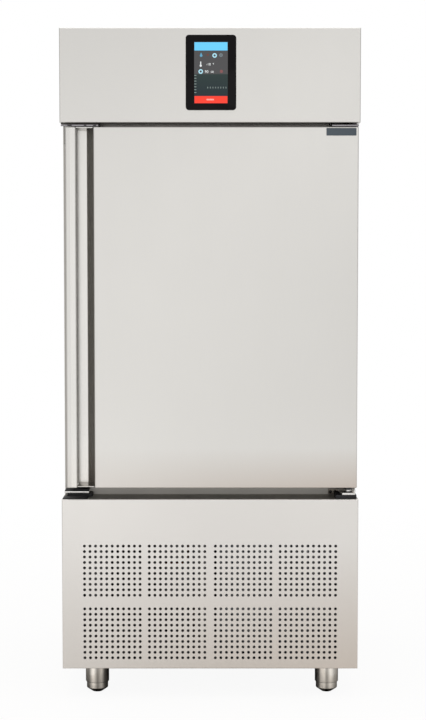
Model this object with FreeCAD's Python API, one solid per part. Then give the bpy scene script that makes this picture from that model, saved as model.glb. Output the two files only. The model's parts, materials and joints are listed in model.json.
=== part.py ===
import FreeCAD, Part
import math
import os

# A single-door blast chiller on four adjustable feet. Millimetres.
# Origin: middle of the footprint, on the floor. +X right, +Y back, +Z up,
# so the door faces -Y.

V = FreeCAD.Vector

# ---- Overall size ----------------------------------------------------------
WIDTH = 800.0
DEPTH = 800.0
HEIGHT = 1800.0
SIDE = WIDTH / 2
REAR = DEPTH / 2
BEZEL_PROUD = 3.0
SCREW_PROUD = 2.0
FRONT_Y = -DEPTH / 2 + BEZEL_PROUD
BACK_Y = REAR - SCREW_PROUD

# ---- Sheet metal -----------------------------------------------------------
SHEET = 1.2
THIN_SHEET = 0.8
FOLD_RADIUS = 2.5
FLANGE = 14.0
SEAM = 0.3
OVERCUT = 1.0  # how far a cut runs past the faces it opens
INSIDE = SIDE - SHEET

# ---- Heights ---------------------------------------------------------------
CLEAR_UNDER = 80.0
LEDGE_Z = 542.0
DOOR_BOTTOM = 572.0
DOOR_TOP = 1540.0
HEADER_BOTTOM = 1551.0
BODY_TOP = 1560.0
ROOF_UNDERSIDE = HEIGHT - SHEET

# ---- Recess in front of the body, where the door hangs ------------------------
RECESS = 100.0
BODY_Y = FRONT_Y + RECESS
CHEEK_Y = FRONT_Y + FLANGE + SEAM

# ---- Chamber ---------------------------------------------------------------
CHAMBER_HALF = 340.0
CHAMBER_BOTTOM = 612.0
CHAMBER_TOP = 1500.0
CHAMBER_BACK = 340.0
CHAMBER_CORNER = 18.0
FRAME_DEPTH = 12.0
LINER_Y = BODY_Y + FRAME_DEPTH

# ---- Door ------------------------------------------------------------------
DOOR_Y = FRONT_Y + 10.0
DOOR_THICK = 76.0
DOOR_BACK = DOOR_Y + DOOR_THICK
DOOR_LEFT = -386.0
DOOR_RIGHT = 396.5
DOOR_SHEET = 1.0
PULL_BAR_RIGHT = -358.4
PULL_BAR_THICK = 14.0
PULL_POCKET_LEFT = -376.0
PULL_POCKET_FLOOR = 48.0
PULL_FLOOR_RIGHT = -331.0
PULL_MOUTH_RIGHT = -310.2
PULL_BEND = 3.0
PULL_CAP_THICK = 4.0
PULL_CAP_SUNK = 0.3
DOOR_BEND = 2.0
PRESSING_RISE = 6.0
PRESSING_SLOPE = 5.0
PRESSING_BORDER = 60.0
GASKET_HALF = 372.0
GASKET_BOTTOM = 580.0
GASKET_TOP = 1532.0
GASKET_WIDTH = 22.0
GASKET_GAP = 0.3
GASKET_FOOT = 3.5
GASKET_NECK_TOP = 6.0
GASKET_NECK_INSET = 5.0
GASKET_BULB_INSET = 1.5
BADGE_LEFT = 310.0
BADGE_RIGHT = 390.0
BADGE_BOTTOM = 1517.0
BADGE_TOP = 1537.0
BADGE_THICK = 1.6
BADGE_CORNER = 1.5
BADGE_CHAMFER = 0.5

# ---- Hinge -----------------------------------------------------------------
HINGE_X = 374.5
HINGE_Y = DOOR_Y + 22.0
PIN_RADIUS = 6.0
BUSH_CLEARANCE = 0.05
BUSH_RADIUS = 10.0
BUSH_LENGTH = 28.0
BUSH_FLANGE_RADIUS = 12.0
BUSH_FLANGE = 6.0
BRACKET_Y = -382.0
BRACKET_LEFT = 357.0
BRACKET_RIGHT = 392.0
BRACKET_BOTTOM = 552.0
BRACKET_THICK = 6.0
BRACKET_FLARE = 7.0
BRACKET_FLARE_Y = -324.0
COLLAR_RADIUS = 7.5
TOP_BRACKET_BOTTOM = 1541.8
TOP_BRACKET_THICK = 5.0
BRACKET_FLANGE_LEFT = 325.0
BRACKET_FLANGE_RIGHT = 397.0
SPARE_HOLE_RADIUS = 5.0
SPARE_HOLE_PLACES = (-HINGE_X, -333.0, -307.6)
SPARE_SUPPORT_X = (-398.0, -331.0)
SPARE_SUPPORT_Y = -337.5
SPARE_SUPPORT_BOTTOM = 550.0
SPARE_STRIP_X = (-398.0, -298.0)
SPARE_STRIP_Y = (-381.0, -316.0)
SPARE_STRIP_THICK = 2.5
PAD_RIGHT_X = (341.0, 396.0)
PAD_RIGHT_Y = (-381.0, -306.0)
PAD_LEFT_X = (-390.0, -322.0)
PAD_LEFT_Y = (SPARE_SUPPORT_Y, BODY_Y)

# ---- Feet ------------------------------------------------------------------
LEG_X = 316.0
LEG_SHIFT = 5.0
LEG_Y = 322.0
SLEEVE_RADIUS = 32.0
SLEEVE_WALL = 2.0
SLEEVE_BOTTOM = 28.0
SLEEVE_CAP = 6.0
FOOT_RADIUS = 29.2
FOOT_CONE = 11.0
FOOT_FLAT_RADIUS = 14.0
FOOT_TOP = 62.0
STUD_RADIUS = 8.0
STUD_TOP = 112.0
STUD_CLEARANCE = 0.3

# ---- Perforation of the lower front panel -----------------------------------
HOLE_RADIUS = 3.9
HOLE_PITCH = 15.0
ROW_PITCH = 14.9
BLOCK_COLUMNS = 11
BLOCK_ROWS = 10
BLOCK_GAP = 25.0
MIDDLE_GAP = 28.5
FIRST_ROW_HEIGHTS = (109.9, 281.3)

# ---- Display ---------------------------------------------------------------
DISPLAY_X = 2.5
DISPLAY_BOTTOM = 1583.0
DISPLAY_TOP = 1781.0
DISPLAY_WIDTH = 134.0
DISPLAY_CORNER = 9.0
DISPLAY_CHAMFER = 0.8
SCREEN_BOTTOM = 1601.0
SCREEN_TOP = 1762.0
SCREEN_WIDTH = 89.0
SCREEN_THICK = 0.8
CUTOUT_MARGIN = 8.0
HOUSING_GAP = 1.0
HOUSING_DEPTH = 32.0

# ---- Tray racks ------------------------------------------------------------
LEVELS = 14
LEVEL_PITCH = 60.0
LEVEL_BOTTOM = 650.0
POST_OUTER = 332.0
POST_SIZE = 12.0
POST_FRONT_Y = -215.0
POST_BACK_Y = 115.0
RAIL_X = 288.0
RAIL_RADIUS = 4.0
RAIL_BEND = 16.0
POST_MARGIN = 30.0

# ---- Cold air side ---------------------------------------------------------
DEFLECTOR_Y = 165.0
DEFLECTOR_HALF = 310.0
COLD_FAN_HEIGHTS = (840.0, 1270.0)
COLD_FAN_RADIUS = 118.0
COIL_HALF = 240.0
COIL_FRONT = 250.0
COIL_BOTTOM = 690.0
COIL_TOP = 1430.0
FIN_THICK = 0.6
COLD_FIN_PITCH = 8.0
SPINE = 2.0

# ---- Machine compartment ------------------------------------------------------
BASE_THICK = 3.0
BASE_TOP = CLEAR_UNDER + BASE_THICK
GRILLE_Y = 380.0
WARM_COIL_LEFT = 20.0
WARM_COIL_RIGHT = 360.0
WARM_COIL_FRONT = -290.0
WARM_COIL_BACK = -230.0
WARM_COIL_TOP = 483.0
WARM_FIN_PITCH = 6.0
WARM_FAN_RADIUS = 140.0
WARM_FAN_X = (WARM_COIL_LEFT + WARM_COIL_RIGHT) / 2
WARM_FAN_Z = (BASE_TOP + WARM_COIL_TOP) / 2
SHROUD_DEPTH = 80.0
COMPRESSOR_X = -220.0
COMPRESSOR_Y = 60.0
COMPRESSOR_RADIUS = 85.0
COMPRESSOR_BOTTOM = 106.0
COMPRESSOR_SHOULDER = 300.0
COMPRESSOR_DOME = 45.0
COMPRESSOR_WALL = 4.0
MOUNT_HEIGHT = 19.0
RECEIVER_X = 40.0
RECEIVER_Y = 290.0
RECEIVER_RADIUS = 50.0
RECEIVER_SHOULDER = 260.0
RECEIVER_DOME = 20.0
RECEIVER_WALL = 3.0
DRIER_BOTTOM = 360.0
DRIER_TOP = 460.0
LIQUID_PIPE = 5.0
SUCTION_PIPE = 8.0
LIQUID_X = 275.0
SUCTION_X = 300.0
DRAIN_X = -20.0
DRAIN_Y = -190.0
DRAIN_RADIUS = 12.0
DRAIN_WALL = 1.5
DRAIN_END = 70.0
PIPE_BEND = 20.0
GLAND_X = -340.0
GLAND_Z = 123.0
GLAND_THREAD = 10.0
GLAND_THREAD_LENGTH = 14.0
GLAND_COLLAR = 8.0
GLAND_NOSE = 8.0
GLAND_NUT = 6.0
GLAND_BORE = 5.0

# ---- Axial fans ------------------------------------------------------------
FAN_GUARD_THICK = 4.0
FAN_GUARD_WIRE = 3.0
FAN_GUARD_OVERLAP = 8.0
FAN_HOLE_MARGIN = 7.0
FAN_STATOR_RADIUS = 42.0
FAN_STATOR_LENGTH = 20.0
FAN_SHAFT_RADIUS = 5.0
FAN_SHAFT_CLEARANCE = 0.05
FAN_CUP_RADIUS = 44.0
FAN_CUP_GAP = 1.0
FAN_CUP_LENGTH = 36.0
FAN_BLADES = 5
FAN_BLADE_THICK = 2.5
FAN_BLADE_CHORD = 62.0
FAN_BLADE_PITCH = 28.0
FAN_BLADE_SINK = 4.0
FAN_BLADE_CORNER = 20.0

# ---- Screws ----------------------------------------------------------------
SCREW_HEAD = 4.5
SCREW_SHANK = 2.0
SCREW_CROWN = 1.2
SCREW_INSET = 14.0


# ---- Shape helpers -----------------------------------------------------------
def box(x, y, z):
    """A block from three (low, high) spans."""
    return Part.makeBox(x[1] - x[0], y[1] - y[0], z[1] - z[0], V(x[0], y[0], z[0]))


def rod(start, end, radius):
    """A round bar between two points."""
    return Part.makeCylinder(radius, (end - start).Length, start, end - start)


def bent_edges(points, bends, closed=False):
    """Straight runs through the points, with a tangent arc at every turn."""
    count = len(points)
    turns = range(count) if closed else range(1, count - 1)
    entry = {}
    leave = {}
    arcs = {}
    for turn in turns:
        corner = points[turn]
        back = V(points[turn - 1] - corner).normalize()
        ahead = V(points[(turn + 1) % count] - corner).normalize()
        half_angle = back.getAngle(ahead) / 2
        bend = bends[turn] if isinstance(bends, list) else bends
        reach = bend / math.tan(half_angle)
        inward = V(back + ahead).normalize()
        to_arc = bend / math.sin(half_angle) - bend
        entry[turn] = corner + back * reach
        leave[turn] = corner + ahead * reach
        arcs[turn] = Part.Arc(entry[turn], corner + inward * to_arc, leave[turn]).toShape()
    edges = []
    for index in range(count if closed else count - 1):
        following = (index + 1) % count
        start = leave.get(index, points[index])
        end = entry.get(following, points[following])
        edges.append(Part.LineSegment(start, end).toShape())
        if following in arcs:
            edges.append(arcs[following])
    return edges


def outline(corners, bends, z):
    """A closed flat outline of (x, y) corners with rounded turns, at height z."""
    points = [V(x, y, z) for x, y in corners]
    return Part.Wire(Part.__sortEdges__(bent_edges(points, bends, closed=True)))


def pipe(points, radius, bend):
    """A round tube or rod, filled, along straight runs and tangent arcs."""
    path = Part.Wire(bent_edges(points, bend))
    section = Part.Wire(Part.makeCircle(radius, points[0], points[1] - points[0]))
    return path.makePipeShell([section], True, False)


def domed_can(x, y, low, shoulder, dome, radius):
    """An upright cylinder whose top is a shallow dome."""
    sphere_radius = (radius ** 2 + dome ** 2) / (2 * dome)
    wall = Part.makeCylinder(radius, shoulder - low, V(x, y, low))
    cap = Part.makeCylinder(radius, dome, V(x, y, shoulder))
    ball = Part.makeSphere(sphere_radius, V(x, y, shoulder + dome - sphere_radius))
    return wall.fuse(cap.common(ball)).removeSplitter()


def mirrored(shape):
    """The same piece on the other side of the middle plane."""
    return shape.mirror(V(0, 0, 0), V(1, 0, 0))


def edges_within(shape, x, y, z):
    """The edges that lie wholly inside three (low, high) spans."""
    margin = 0.01
    found = []
    for edge in shape.Edges:
        reach = edge.BoundBox
        inside_x = reach.XMin > x[0] - margin and reach.XMax < x[1] + margin
        inside_y = reach.YMin > y[0] - margin and reach.YMax < y[1] + margin
        inside_z = reach.ZMin > z[0] - margin and reach.ZMax < z[1] + margin
        if inside_x and inside_y and inside_z:
            found.append(edge)
    return found


def folded_pan(z):
    """A full-width front sheet with flanges folded back on all four sides."""
    outer = box((-SIDE, SIDE), (FRONT_Y, FRONT_Y + FLANGE), z)
    front = edges_within(outer, (-SIDE, SIDE), (FRONT_Y, FRONT_Y), z)
    outer = outer.makeFillet(FOLD_RADIUS, front)
    inner_z = (z[0] + SHEET, z[1] - SHEET)
    inner_y = (FRONT_Y + SHEET, FRONT_Y + FLANGE)
    inner = box((-INSIDE, INSIDE), inner_y, inner_z)
    bends = edges_within(inner, (-INSIDE, INSIDE), (inner_y[0], inner_y[0]), inner_z)
    return outer.cut(inner.makeFillet(FOLD_RADIUS - SHEET, bends))


def screw(place, inward, shank):
    """A low domed screw: head on the face at place, shank running inward."""
    head = Part.makeCylinder(SCREW_HEAD, SCREW_PROUD, place, inward * -1)
    crown = [edge for edge in head.Edges if edge.Curve.TypeId == "Part::GeomCircle"]
    crown = [edge for edge in crown if (edge.CenterOfMass - place).Length > SCREW_PROUD / 2]
    head = head.makeFillet(SCREW_CROWN, crown)
    return head.fuse(Part.makeCylinder(SCREW_SHANK, shank, place, inward))


# ---- Where the screws go -------------------------------------------------------
def back_screw_places():
    """Screws round the edge of the back panel and the rear grille."""
    rows = 5
    low = LEDGE_Z + SCREW_INSET
    high = ROOF_UNDERSIDE - SCREW_INSET
    places = []
    for row in range(rows):
        height = low + (high - low) * row / (rows - 1)
        for x in (-SIDE + SCREW_INSET, SIDE - SCREW_INSET):
            places.append(V(x, BACK_Y, height))
    for height in (low, high):
        places.append(V(0, BACK_Y, height))
    return places


def grille_screw_places():
    places = []
    for x in (-SIDE + SCREW_INSET, 0, SIDE - SCREW_INSET):
        for height in (BASE_TOP + SCREW_INSET, LEDGE_Z - SCREW_INSET):
            places.append(V(x, GRILLE_Y + SHEET, height))
    return places


def bracket_screw_places():
    """The two screws of the lower hinge bracket's flange."""
    inset = 6.0
    bracket_face = BODY_Y - BRACKET_THICK
    middle = (LEDGE_Z + BRACKET_BOTTOM + BRACKET_THICK) / 2
    places = (BRACKET_FLANGE_LEFT + inset, BRACKET_LEFT - BRACKET_FLARE - inset)
    return [V(x, bracket_face, middle) for x in places]


# ---- Cabinet skins -----------------------------------------------------------
def side_panel():
    """The right side: one flat sheet from the base to the roof."""
    return box((INSIDE, SIDE), (BODY_Y, BACK_Y), (CLEAR_UNDER, ROOF_UNDERSIDE))


def back_panel():
    sheet = box((-INSIDE, INSIDE), (BACK_Y - SHEET, BACK_Y), (LEDGE_Z, ROOF_UNDERSIDE))
    holes = [rod(place, place + V(0, -SHEET, 0), SCREW_SHANK) for place in back_screw_places()]
    return sheet.cut(Part.makeCompound(holes))


def rear_grille():
    """The slotted sheet that closes the machine compartment, set in from the back."""
    sheet = box((-INSIDE, INSIDE), (GRILLE_Y, GRILLE_Y + SHEET), (BASE_TOP, LEDGE_Z - SHEET))
    slot_length = 170.0
    slot_height = 6.0
    slot_pitch = 18.0
    slot_rows = 20
    slot_columns = (110.0, 290.0)
    first_row = BASE_TOP + 40.0
    cuts = [rod(place, place + V(0, -SHEET, 0), SCREW_SHANK) for place in grille_screw_places()]
    for column in slot_columns:
        for row in range(slot_rows):
            low = first_row + row * slot_pitch
            ends = (column - slot_length / 2, column + slot_length / 2)
            depth = (GRILLE_Y - OVERCUT, GRILLE_Y + SHEET + OVERCUT)
            slot = box(ends, depth, (low, low + slot_height))
            cuts.append(slot)
    gland = gland_place()
    cuts.append(rod(gland, gland + V(0, -SHEET, 0), GLAND_THREAD))
    return sheet.cut(Part.makeCompound(cuts))


def roof_panel():
    return box((-SIDE, SIDE), (CHEEK_Y, BACK_Y), (ROOF_UNDERSIDE, HEIGHT))


def header_panel():
    """The header's front, with the opening for the display."""
    pan = folded_pan((HEADER_BOTTOM, HEIGHT))
    half = DISPLAY_WIDTH / 2 - CUTOUT_MARGIN
    span_x = (DISPLAY_X - half, DISPLAY_X + half)
    span_z = (DISPLAY_BOTTOM + CUTOUT_MARGIN, DISPLAY_TOP - CUTOUT_MARGIN)
    return pan.cut(box(span_x, (FRONT_Y - OVERCUT, FRONT_Y + SHEET + OVERCUT), span_z))


def hole_block_starts():
    """The x of each block's first column: two blocks on each side of the middle."""
    width = (BLOCK_COLUMNS - 1) * HOLE_PITCH
    near = MIDDLE_GAP / 2
    far = near + width + BLOCK_GAP
    return [-far - width, -near - width, near, far]


def lower_front_panel():
    """The perforated panel in front of the machine compartment."""
    pan = folded_pan((CLEAR_UNDER, LEDGE_Z))
    through = V(0, SHEET + 2 * OVERCUT, 0)
    holes = []
    for first_x in hole_block_starts():
        for first_z in FIRST_ROW_HEIGHTS:
            for column in range(BLOCK_COLUMNS):
                for row in range(BLOCK_ROWS):
                    x = first_x + column * HOLE_PITCH
                    start = V(x, FRONT_Y - OVERCUT, first_z + row * ROW_PITCH)
                    holes.append(rod(start, start + through, HOLE_RADIUS))
    return pan.cut(Part.makeCompound(holes))


def front_cheeks():
    """The sides of the header and of the plinth, between front sheet and body."""
    header = box((INSIDE, SIDE), (CHEEK_Y, BODY_Y), (HEADER_BOTTOM, ROOF_UNDERSIDE))
    plinth = box((INSIDE, SIDE), (CHEEK_Y, BODY_Y), (CLEAR_UNDER, LEDGE_Z - SHEET))
    return [header, plinth, mirrored(header), mirrored(plinth)]


def header_soffit():
    """The header's underside, with the pin and screw holes of both hinge sides."""
    sheet = box((-INSIDE, INSIDE), (CHEEK_Y, BODY_Y), (HEADER_BOTTOM, HEADER_BOTTOM + SHEET))
    holes = []
    for x in SPARE_HOLE_PLACES:
        for place in (x, -x):
            low = V(place, HINGE_Y, HEADER_BOTTOM - OVERCUT)
            holes.append(rod(low, low + V(0, 0, SHEET + 2 * OVERCUT), SPARE_HOLE_RADIUS))
    return sheet.cut(Part.makeCompound(holes))


def plinth_ledge():
    return box((-SIDE, SIDE), (CHEEK_Y, BODY_Y), (LEDGE_Z - SHEET, LEDGE_Z))


def base_plate():
    """The plate that carries the machine and stands on the legs."""
    sheet = box((-INSIDE, INSIDE), (CHEEK_Y, BACK_Y), (CLEAR_UNDER, BASE_TOP))
    bottom = V(0, 0, CLEAR_UNDER - OVERCUT)
    through = V(0, 0, BASE_THICK + 2 * OVERCUT)
    holes = []
    for x, y in leg_places():
        start = bottom + V(x, y, 0)
        holes.append(rod(start, start + through, STUD_RADIUS + STUD_CLEARANCE))
    start = bottom + V(DRAIN_X, DRAIN_Y, 0)
    holes.append(rod(start, start + through, DRAIN_RADIUS))
    return sheet.cut(Part.makeCompound(holes))


# ---- Insulated body ----------------------------------------------------------
def pipe_passages(low, high):
    """The round passages for the drain and the two refrigerant pipes."""
    drain = rod(V(DRAIN_X, DRAIN_Y, low), V(DRAIN_X, DRAIN_Y, high), DRAIN_RADIUS)
    liquid = rod(V(LIQUID_X, RECEIVER_Y, low), V(LIQUID_X, RECEIVER_Y, high), LIQUID_PIPE)
    suction = rod(V(SUCTION_X, RECEIVER_Y, low), V(SUCTION_X, RECEIVER_Y, high), SUCTION_PIPE)
    return Part.makeCompound([drain, liquid, suction])


def upright_rectangle(half, low, high):
    """The (x, z) corners of a rectangle that stands about the middle plane."""
    return [(-half, low), (half, low), (half, high), (-half, high)]


def mitred_rail(outer, inner, side, y):
    """One side of a flat frame between two rectangles, from y[0] to y[1]."""
    after = (side + 1) % 4
    loop = [outer[side], outer[after], inner[after], inner[side], outer[side]]
    face = Part.Face(Part.makePolygon([V(x, y[0], z) for x, z in loop]))
    return face.extrude(V(0, y[1] - y[0], 0))


def door_frame():
    """Four mitred, folded rails round the chamber's mouth; the gasket seals on them."""
    outer = upright_rectangle(INSIDE, LEDGE_Z, BODY_TOP)
    mouth = upright_rectangle(CHAMBER_HALF, CHAMBER_BOTTOM, CHAMBER_TOP)
    lip_half = CHAMBER_HALF + THIN_SHEET
    lip = upright_rectangle(lip_half, CHAMBER_BOTTOM - THIN_SHEET, CHAMBER_TOP + THIN_SHEET)
    rails = []
    for side in range(4):
        face = mitred_rail(outer, mouth, side, (BODY_Y, BODY_Y + SHEET))
        fold = mitred_rail(lip, mouth, side, (BODY_Y + SHEET, LINER_Y))
        rails.append(face.fuse(fold).removeSplitter())
    return rails


def chamber_liner():
    """The steel tank that lines the chamber, open at the front, with coved corners."""
    half = CHAMBER_HALF + THIN_SHEET
    outer_z = (CHAMBER_BOTTOM - THIN_SHEET, CHAMBER_TOP + THIN_SHEET)
    outer = box((-half, half), (LINER_Y, CHAMBER_BACK + THIN_SHEET), outer_z)
    inner_z = (CHAMBER_BOTTOM, CHAMBER_TOP)
    ahead = LINER_Y - 2 * CHAMBER_CORNER
    inner = box((-CHAMBER_HALF, CHAMBER_HALF), (ahead, CHAMBER_BACK), inner_z)
    every = (-CHAMBER_HALF, CHAMBER_HALF)
    rear = edges_within(inner, every, (CHAMBER_BACK, CHAMBER_BACK), inner_z)
    inner = inner.makeFillet(CHAMBER_CORNER, rear)
    tank = outer.cut(inner)
    return tank.cut(pipe_passages(outer_z[0] - OVERCUT, CHAMBER_BOTTOM + OVERCUT))


def body_insulation():
    """Five slabs of rigid foam between the liner and the outer skins."""
    liner_half = CHAMBER_HALF + THIN_SHEET
    liner_low = CHAMBER_BOTTOM - THIN_SHEET
    liner_high = CHAMBER_TOP + THIN_SHEET
    liner_back = CHAMBER_BACK + THIN_SHEET
    depth = (BODY_Y + SHEET, BACK_Y - SHEET)
    height = (LEDGE_Z + SHEET, BODY_TOP - SHEET)
    right = box((liner_half, INSIDE), depth, height)
    floor = box((-liner_half, liner_half), depth, (height[0], liner_low))
    floor = floor.cut(pipe_passages(LEDGE_Z, CHAMBER_BOTTOM))
    ceiling = box((-liner_half, liner_half), depth, (liner_high, height[1]))
    back = box((-liner_half, liner_half), (liner_back, depth[1]), (liner_low, liner_high))
    return [right, mirrored(right), floor, ceiling, back]


def body_end_sheets():
    """The sheets under and over the insulated body."""
    depth = (BODY_Y + SHEET, BACK_Y - SHEET)
    under = box((-INSIDE, INSIDE), depth, (LEDGE_Z, LEDGE_Z + SHEET))
    under = under.cut(pipe_passages(LEDGE_Z - OVERCUT, LEDGE_Z + SHEET + OVERCUT))
    over = box((-INSIDE, INSIDE), depth, (BODY_TOP - SHEET, BODY_TOP))
    return [under, over]


# ---- Display -----------------------------------------------------------------
def display_glass():
    """Black glass with a rounded outline and a shallow seat for the screen."""
    half = DISPLAY_WIDTH / 2
    span_x = (DISPLAY_X - half, DISPLAY_X + half)
    span_y = (-REAR, FRONT_Y)
    span_z = (DISPLAY_BOTTOM, DISPLAY_TOP)
    glass = box(span_x, span_y, span_z)
    corners = []
    for edge in glass.Edges:
        if edge.BoundBox.YLength > BEZEL_PROUD / 2:
            corners.append(edge)
    glass = glass.makeFillet(DISPLAY_CORNER, corners)
    rim = edges_within(glass, span_x, (-REAR, -REAR), span_z)
    glass = glass.makeChamfer(DISPLAY_CHAMFER, rim)
    return glass.cut(display_screen())


def display_screen():
    """The lit area, flush with the glass."""
    half = SCREEN_WIDTH / 2
    span_x = (DISPLAY_X - half, DISPLAY_X + half)
    return box(span_x, (-REAR, -REAR + SCREEN_THICK), (SCREEN_BOTTOM, SCREEN_TOP))


def display_housing():
    """The closed plastic case of the display, behind the header's front."""
    margin = CUTOUT_MARGIN + HOUSING_GAP
    half = DISPLAY_WIDTH / 2 - margin
    span_x = (DISPLAY_X - half, DISPLAY_X + half)
    span_z = (DISPLAY_BOTTOM + margin, DISPLAY_TOP - margin)
    return box(span_x, (FRONT_Y, FRONT_Y + HOUSING_DEPTH), span_z)


# ---- Hinge -------------------------------------------------------------------
def hinge_brackets():
    """Two welded brackets on the body, each with its pin on the hinge axis."""
    arm_y = (BRACKET_Y, BODY_Y - BRACKET_THICK)
    flange_x = (BRACKET_FLANGE_LEFT, BRACKET_FLANGE_RIGHT)
    flange_y = (BODY_Y - BRACKET_THICK, BODY_Y)
    low_top = BRACKET_BOTTOM + BRACKET_THICK
    axis = V(HINGE_X, HINGE_Y, 0)
    pin_in_bush = 20.0
    nose = 2.0
    flange_gap = 1.0
    left = BRACKET_LEFT - BRACKET_FLARE
    right = BRACKET_RIGHT + BRACKET_FLARE

    corners = [
        (BRACKET_LEFT, BRACKET_Y), (BRACKET_RIGHT, BRACKET_Y), (right, BRACKET_FLARE_Y),
        (right, BODY_Y), (left, BODY_Y), (left, BRACKET_FLARE_Y),
    ]
    arm = Part.Face(outline(corners, [nose] * len(corners), BRACKET_BOTTOM))
    arm = arm.extrude(V(0, 0, BRACKET_THICK))
    low = arm.fuse(box(flange_x, flange_y, (LEDGE_Z + flange_gap, low_top)))
    pin_low = axis + V(0, 0, BRACKET_BOTTOM)
    low = low.fuse(rod(pin_low, axis + V(0, 0, DOOR_BOTTOM + pin_in_bush), PIN_RADIUS))
    collar_top = DOOR_BOTTOM - BUSH_FLANGE - GASKET_GAP
    low = low.fuse(rod(pin_low, axis + V(0, 0, collar_top), COLLAR_RADIUS))
    low = low.cut(screw_shanks(bracket_screw_places(), V(0, 1, 0), BRACKET_THICK))

    high_z = (TOP_BRACKET_BOTTOM, TOP_BRACKET_BOTTOM + TOP_BRACKET_THICK)
    high = box(flange_x, arm_y, high_z)
    high = high.fuse(box(flange_x, flange_y, (high_z[0], HEADER_BOTTOM - SEAM)))
    pin_high = axis + V(0, 0, high_z[1])
    high = high.fuse(rod(axis + V(0, 0, DOOR_TOP - pin_in_bush), pin_high, PIN_RADIUS))
    return [low.removeSplitter(), high.removeSplitter()]


def spare_hinge_plates():
    """The unused side's support plate, and the strip round its upper pin and screw holes."""
    low_z = (SPARE_SUPPORT_BOTTOM, SPARE_SUPPORT_BOTTOM + BRACKET_THICK)
    low = box(SPARE_SUPPORT_X, (SPARE_SUPPORT_Y, BODY_Y), low_z)
    high = box(SPARE_STRIP_X, SPARE_STRIP_Y, (HEADER_BOTTOM - SPARE_STRIP_THICK, HEADER_BOTTOM))
    holes = []
    for x in SPARE_HOLE_PLACES:
        start = V(x if x < 0 else -x, HINGE_Y, HEADER_BOTTOM - SPARE_STRIP_THICK - OVERCUT)
        past = V(0, 0, SPARE_STRIP_THICK + 2 * OVERCUT)
        holes.append(rod(start, start + past, SPARE_HOLE_RADIUS))
    return [low, high.cut(Part.makeCompound(holes))]


def hinge_pads():
    """The black pads that fill the space between the ledge and each lower plate."""
    right = box(PAD_RIGHT_X, PAD_RIGHT_Y, (LEDGE_Z, BRACKET_BOTTOM))
    left = box(PAD_LEFT_X, PAD_LEFT_Y, (LEDGE_Z, SPARE_SUPPORT_BOTTOM))
    return [right, left]


def hinge_bushes():
    """The two plastic bushes in the ends of the door that turn on the pins."""
    bottom = V(HINGE_X, HINGE_Y, DOOR_BOTTOM)
    top = V(HINGE_X, HINGE_Y, DOOR_TOP)
    length = V(0, 0, BUSH_LENGTH)
    low = rod(bottom, bottom + length, BUSH_RADIUS)
    low = low.fuse(rod(bottom - V(0, 0, BUSH_FLANGE), bottom, BUSH_FLANGE_RADIUS))
    high = rod(top - length, top, BUSH_RADIUS)
    bore = rod(bottom - length, top + length, PIN_RADIUS + BUSH_CLEARANCE)
    return [low.cut(bore), high.cut(bore)]


# ---- Door --------------------------------------------------------------------
def door_section():
    """The door seen from above: a slab with the pull pocket near its left edge."""
    floor = DOOR_Y + PULL_POCKET_FLOOR
    bar_back = DOOR_Y + PULL_BAR_THICK
    corners = [
        (DOOR_LEFT, DOOR_BACK),
        (DOOR_LEFT, DOOR_Y),
        (PULL_BAR_RIGHT, DOOR_Y),
        (PULL_BAR_RIGHT, bar_back),
        (PULL_POCKET_LEFT, bar_back),
        (PULL_POCKET_LEFT, floor),
        (PULL_FLOOR_RIGHT, floor),
        (PULL_MOUTH_RIGHT, DOOR_Y),
        (DOOR_RIGHT, DOOR_Y),
        (DOOR_RIGHT, DOOR_BACK),
    ]
    small = DOOR_BEND
    wide = PULL_BEND
    bends = [small, wide, wide, wide, small, wide, wide, wide, wide, small]
    return Part.Face(outline(corners, bends, DOOR_BOTTOM))


def door_core():
    """The space inside the door's skin, up to the plane of the inner pan."""
    inner = door_section().makeOffset2D(-DOOR_SHEET)
    inner.translate(V(0, 0, DOOR_SHEET))
    return inner.extrude(V(0, 0, DOOR_TOP - DOOR_BOTTOM - 2 * DOOR_SHEET))


def door_back_span():
    """The rectangle of the door's back, inside the skin."""
    span_x = (DOOR_LEFT + DOOR_SHEET, DOOR_RIGHT - DOOR_SHEET)
    span_z = (DOOR_BOTTOM + DOOR_SHEET, DOOR_TOP - DOOR_SHEET)
    return span_x, span_z


def bush_holes():
    bottom = V(HINGE_X, HINGE_Y, DOOR_BOTTOM)
    top = V(HINGE_X, HINGE_Y, DOOR_TOP)
    length = V(0, 0, BUSH_LENGTH)
    past = V(0, 0, OVERCUT)
    low = rod(bottom - past, bottom + length, BUSH_RADIUS)
    high = rod(top - length, top + past, BUSH_RADIUS)
    return Part.makeCompound([low, high])


def door_skin():
    """One bent sheet: front, sides, pull pocket and the folded top and bottom."""
    body = door_section().extrude(V(0, 0, DOOR_TOP - DOOR_BOTTOM))
    front_y = (DOOR_Y, DOOR_Y + PULL_BEND)
    full_x = (DOOR_LEFT, DOOR_RIGHT)
    ends = edges_within(body, full_x, front_y, (DOOR_TOP, DOOR_TOP))
    ends += edges_within(body, full_x, front_y, (DOOR_BOTTOM, DOOR_BOTTOM))
    body = body.makeFillet(DOOR_BEND, ends)
    span_x, span_z = door_back_span()
    shell = body.cut(door_core())
    shell = shell.cut(box(span_x, (DOOR_BACK - 2 * DOOR_BEND, DOOR_BACK + OVERCUT), span_z))
    return shell.cut(bush_holes())


def pull_end_caps():
    """Two plates that close the pull pocket's mouth at the door's top and bottom."""
    span_x = (PULL_BAR_RIGHT, PULL_MOUTH_RIGHT)
    span_y = (DOOR_Y + PULL_CAP_SUNK, DOOR_Y + PULL_POCKET_FLOOR)
    door = door_section().extrude(V(0, 0, DOOR_TOP - DOOR_BOTTOM))
    low = box(span_x, span_y, (DOOR_BOTTOM, DOOR_BOTTOM + PULL_CAP_THICK))
    high = box(span_x, span_y, (DOOR_TOP - PULL_CAP_THICK, DOOR_TOP))
    return [low.cut(door), high.cut(door)]


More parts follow.
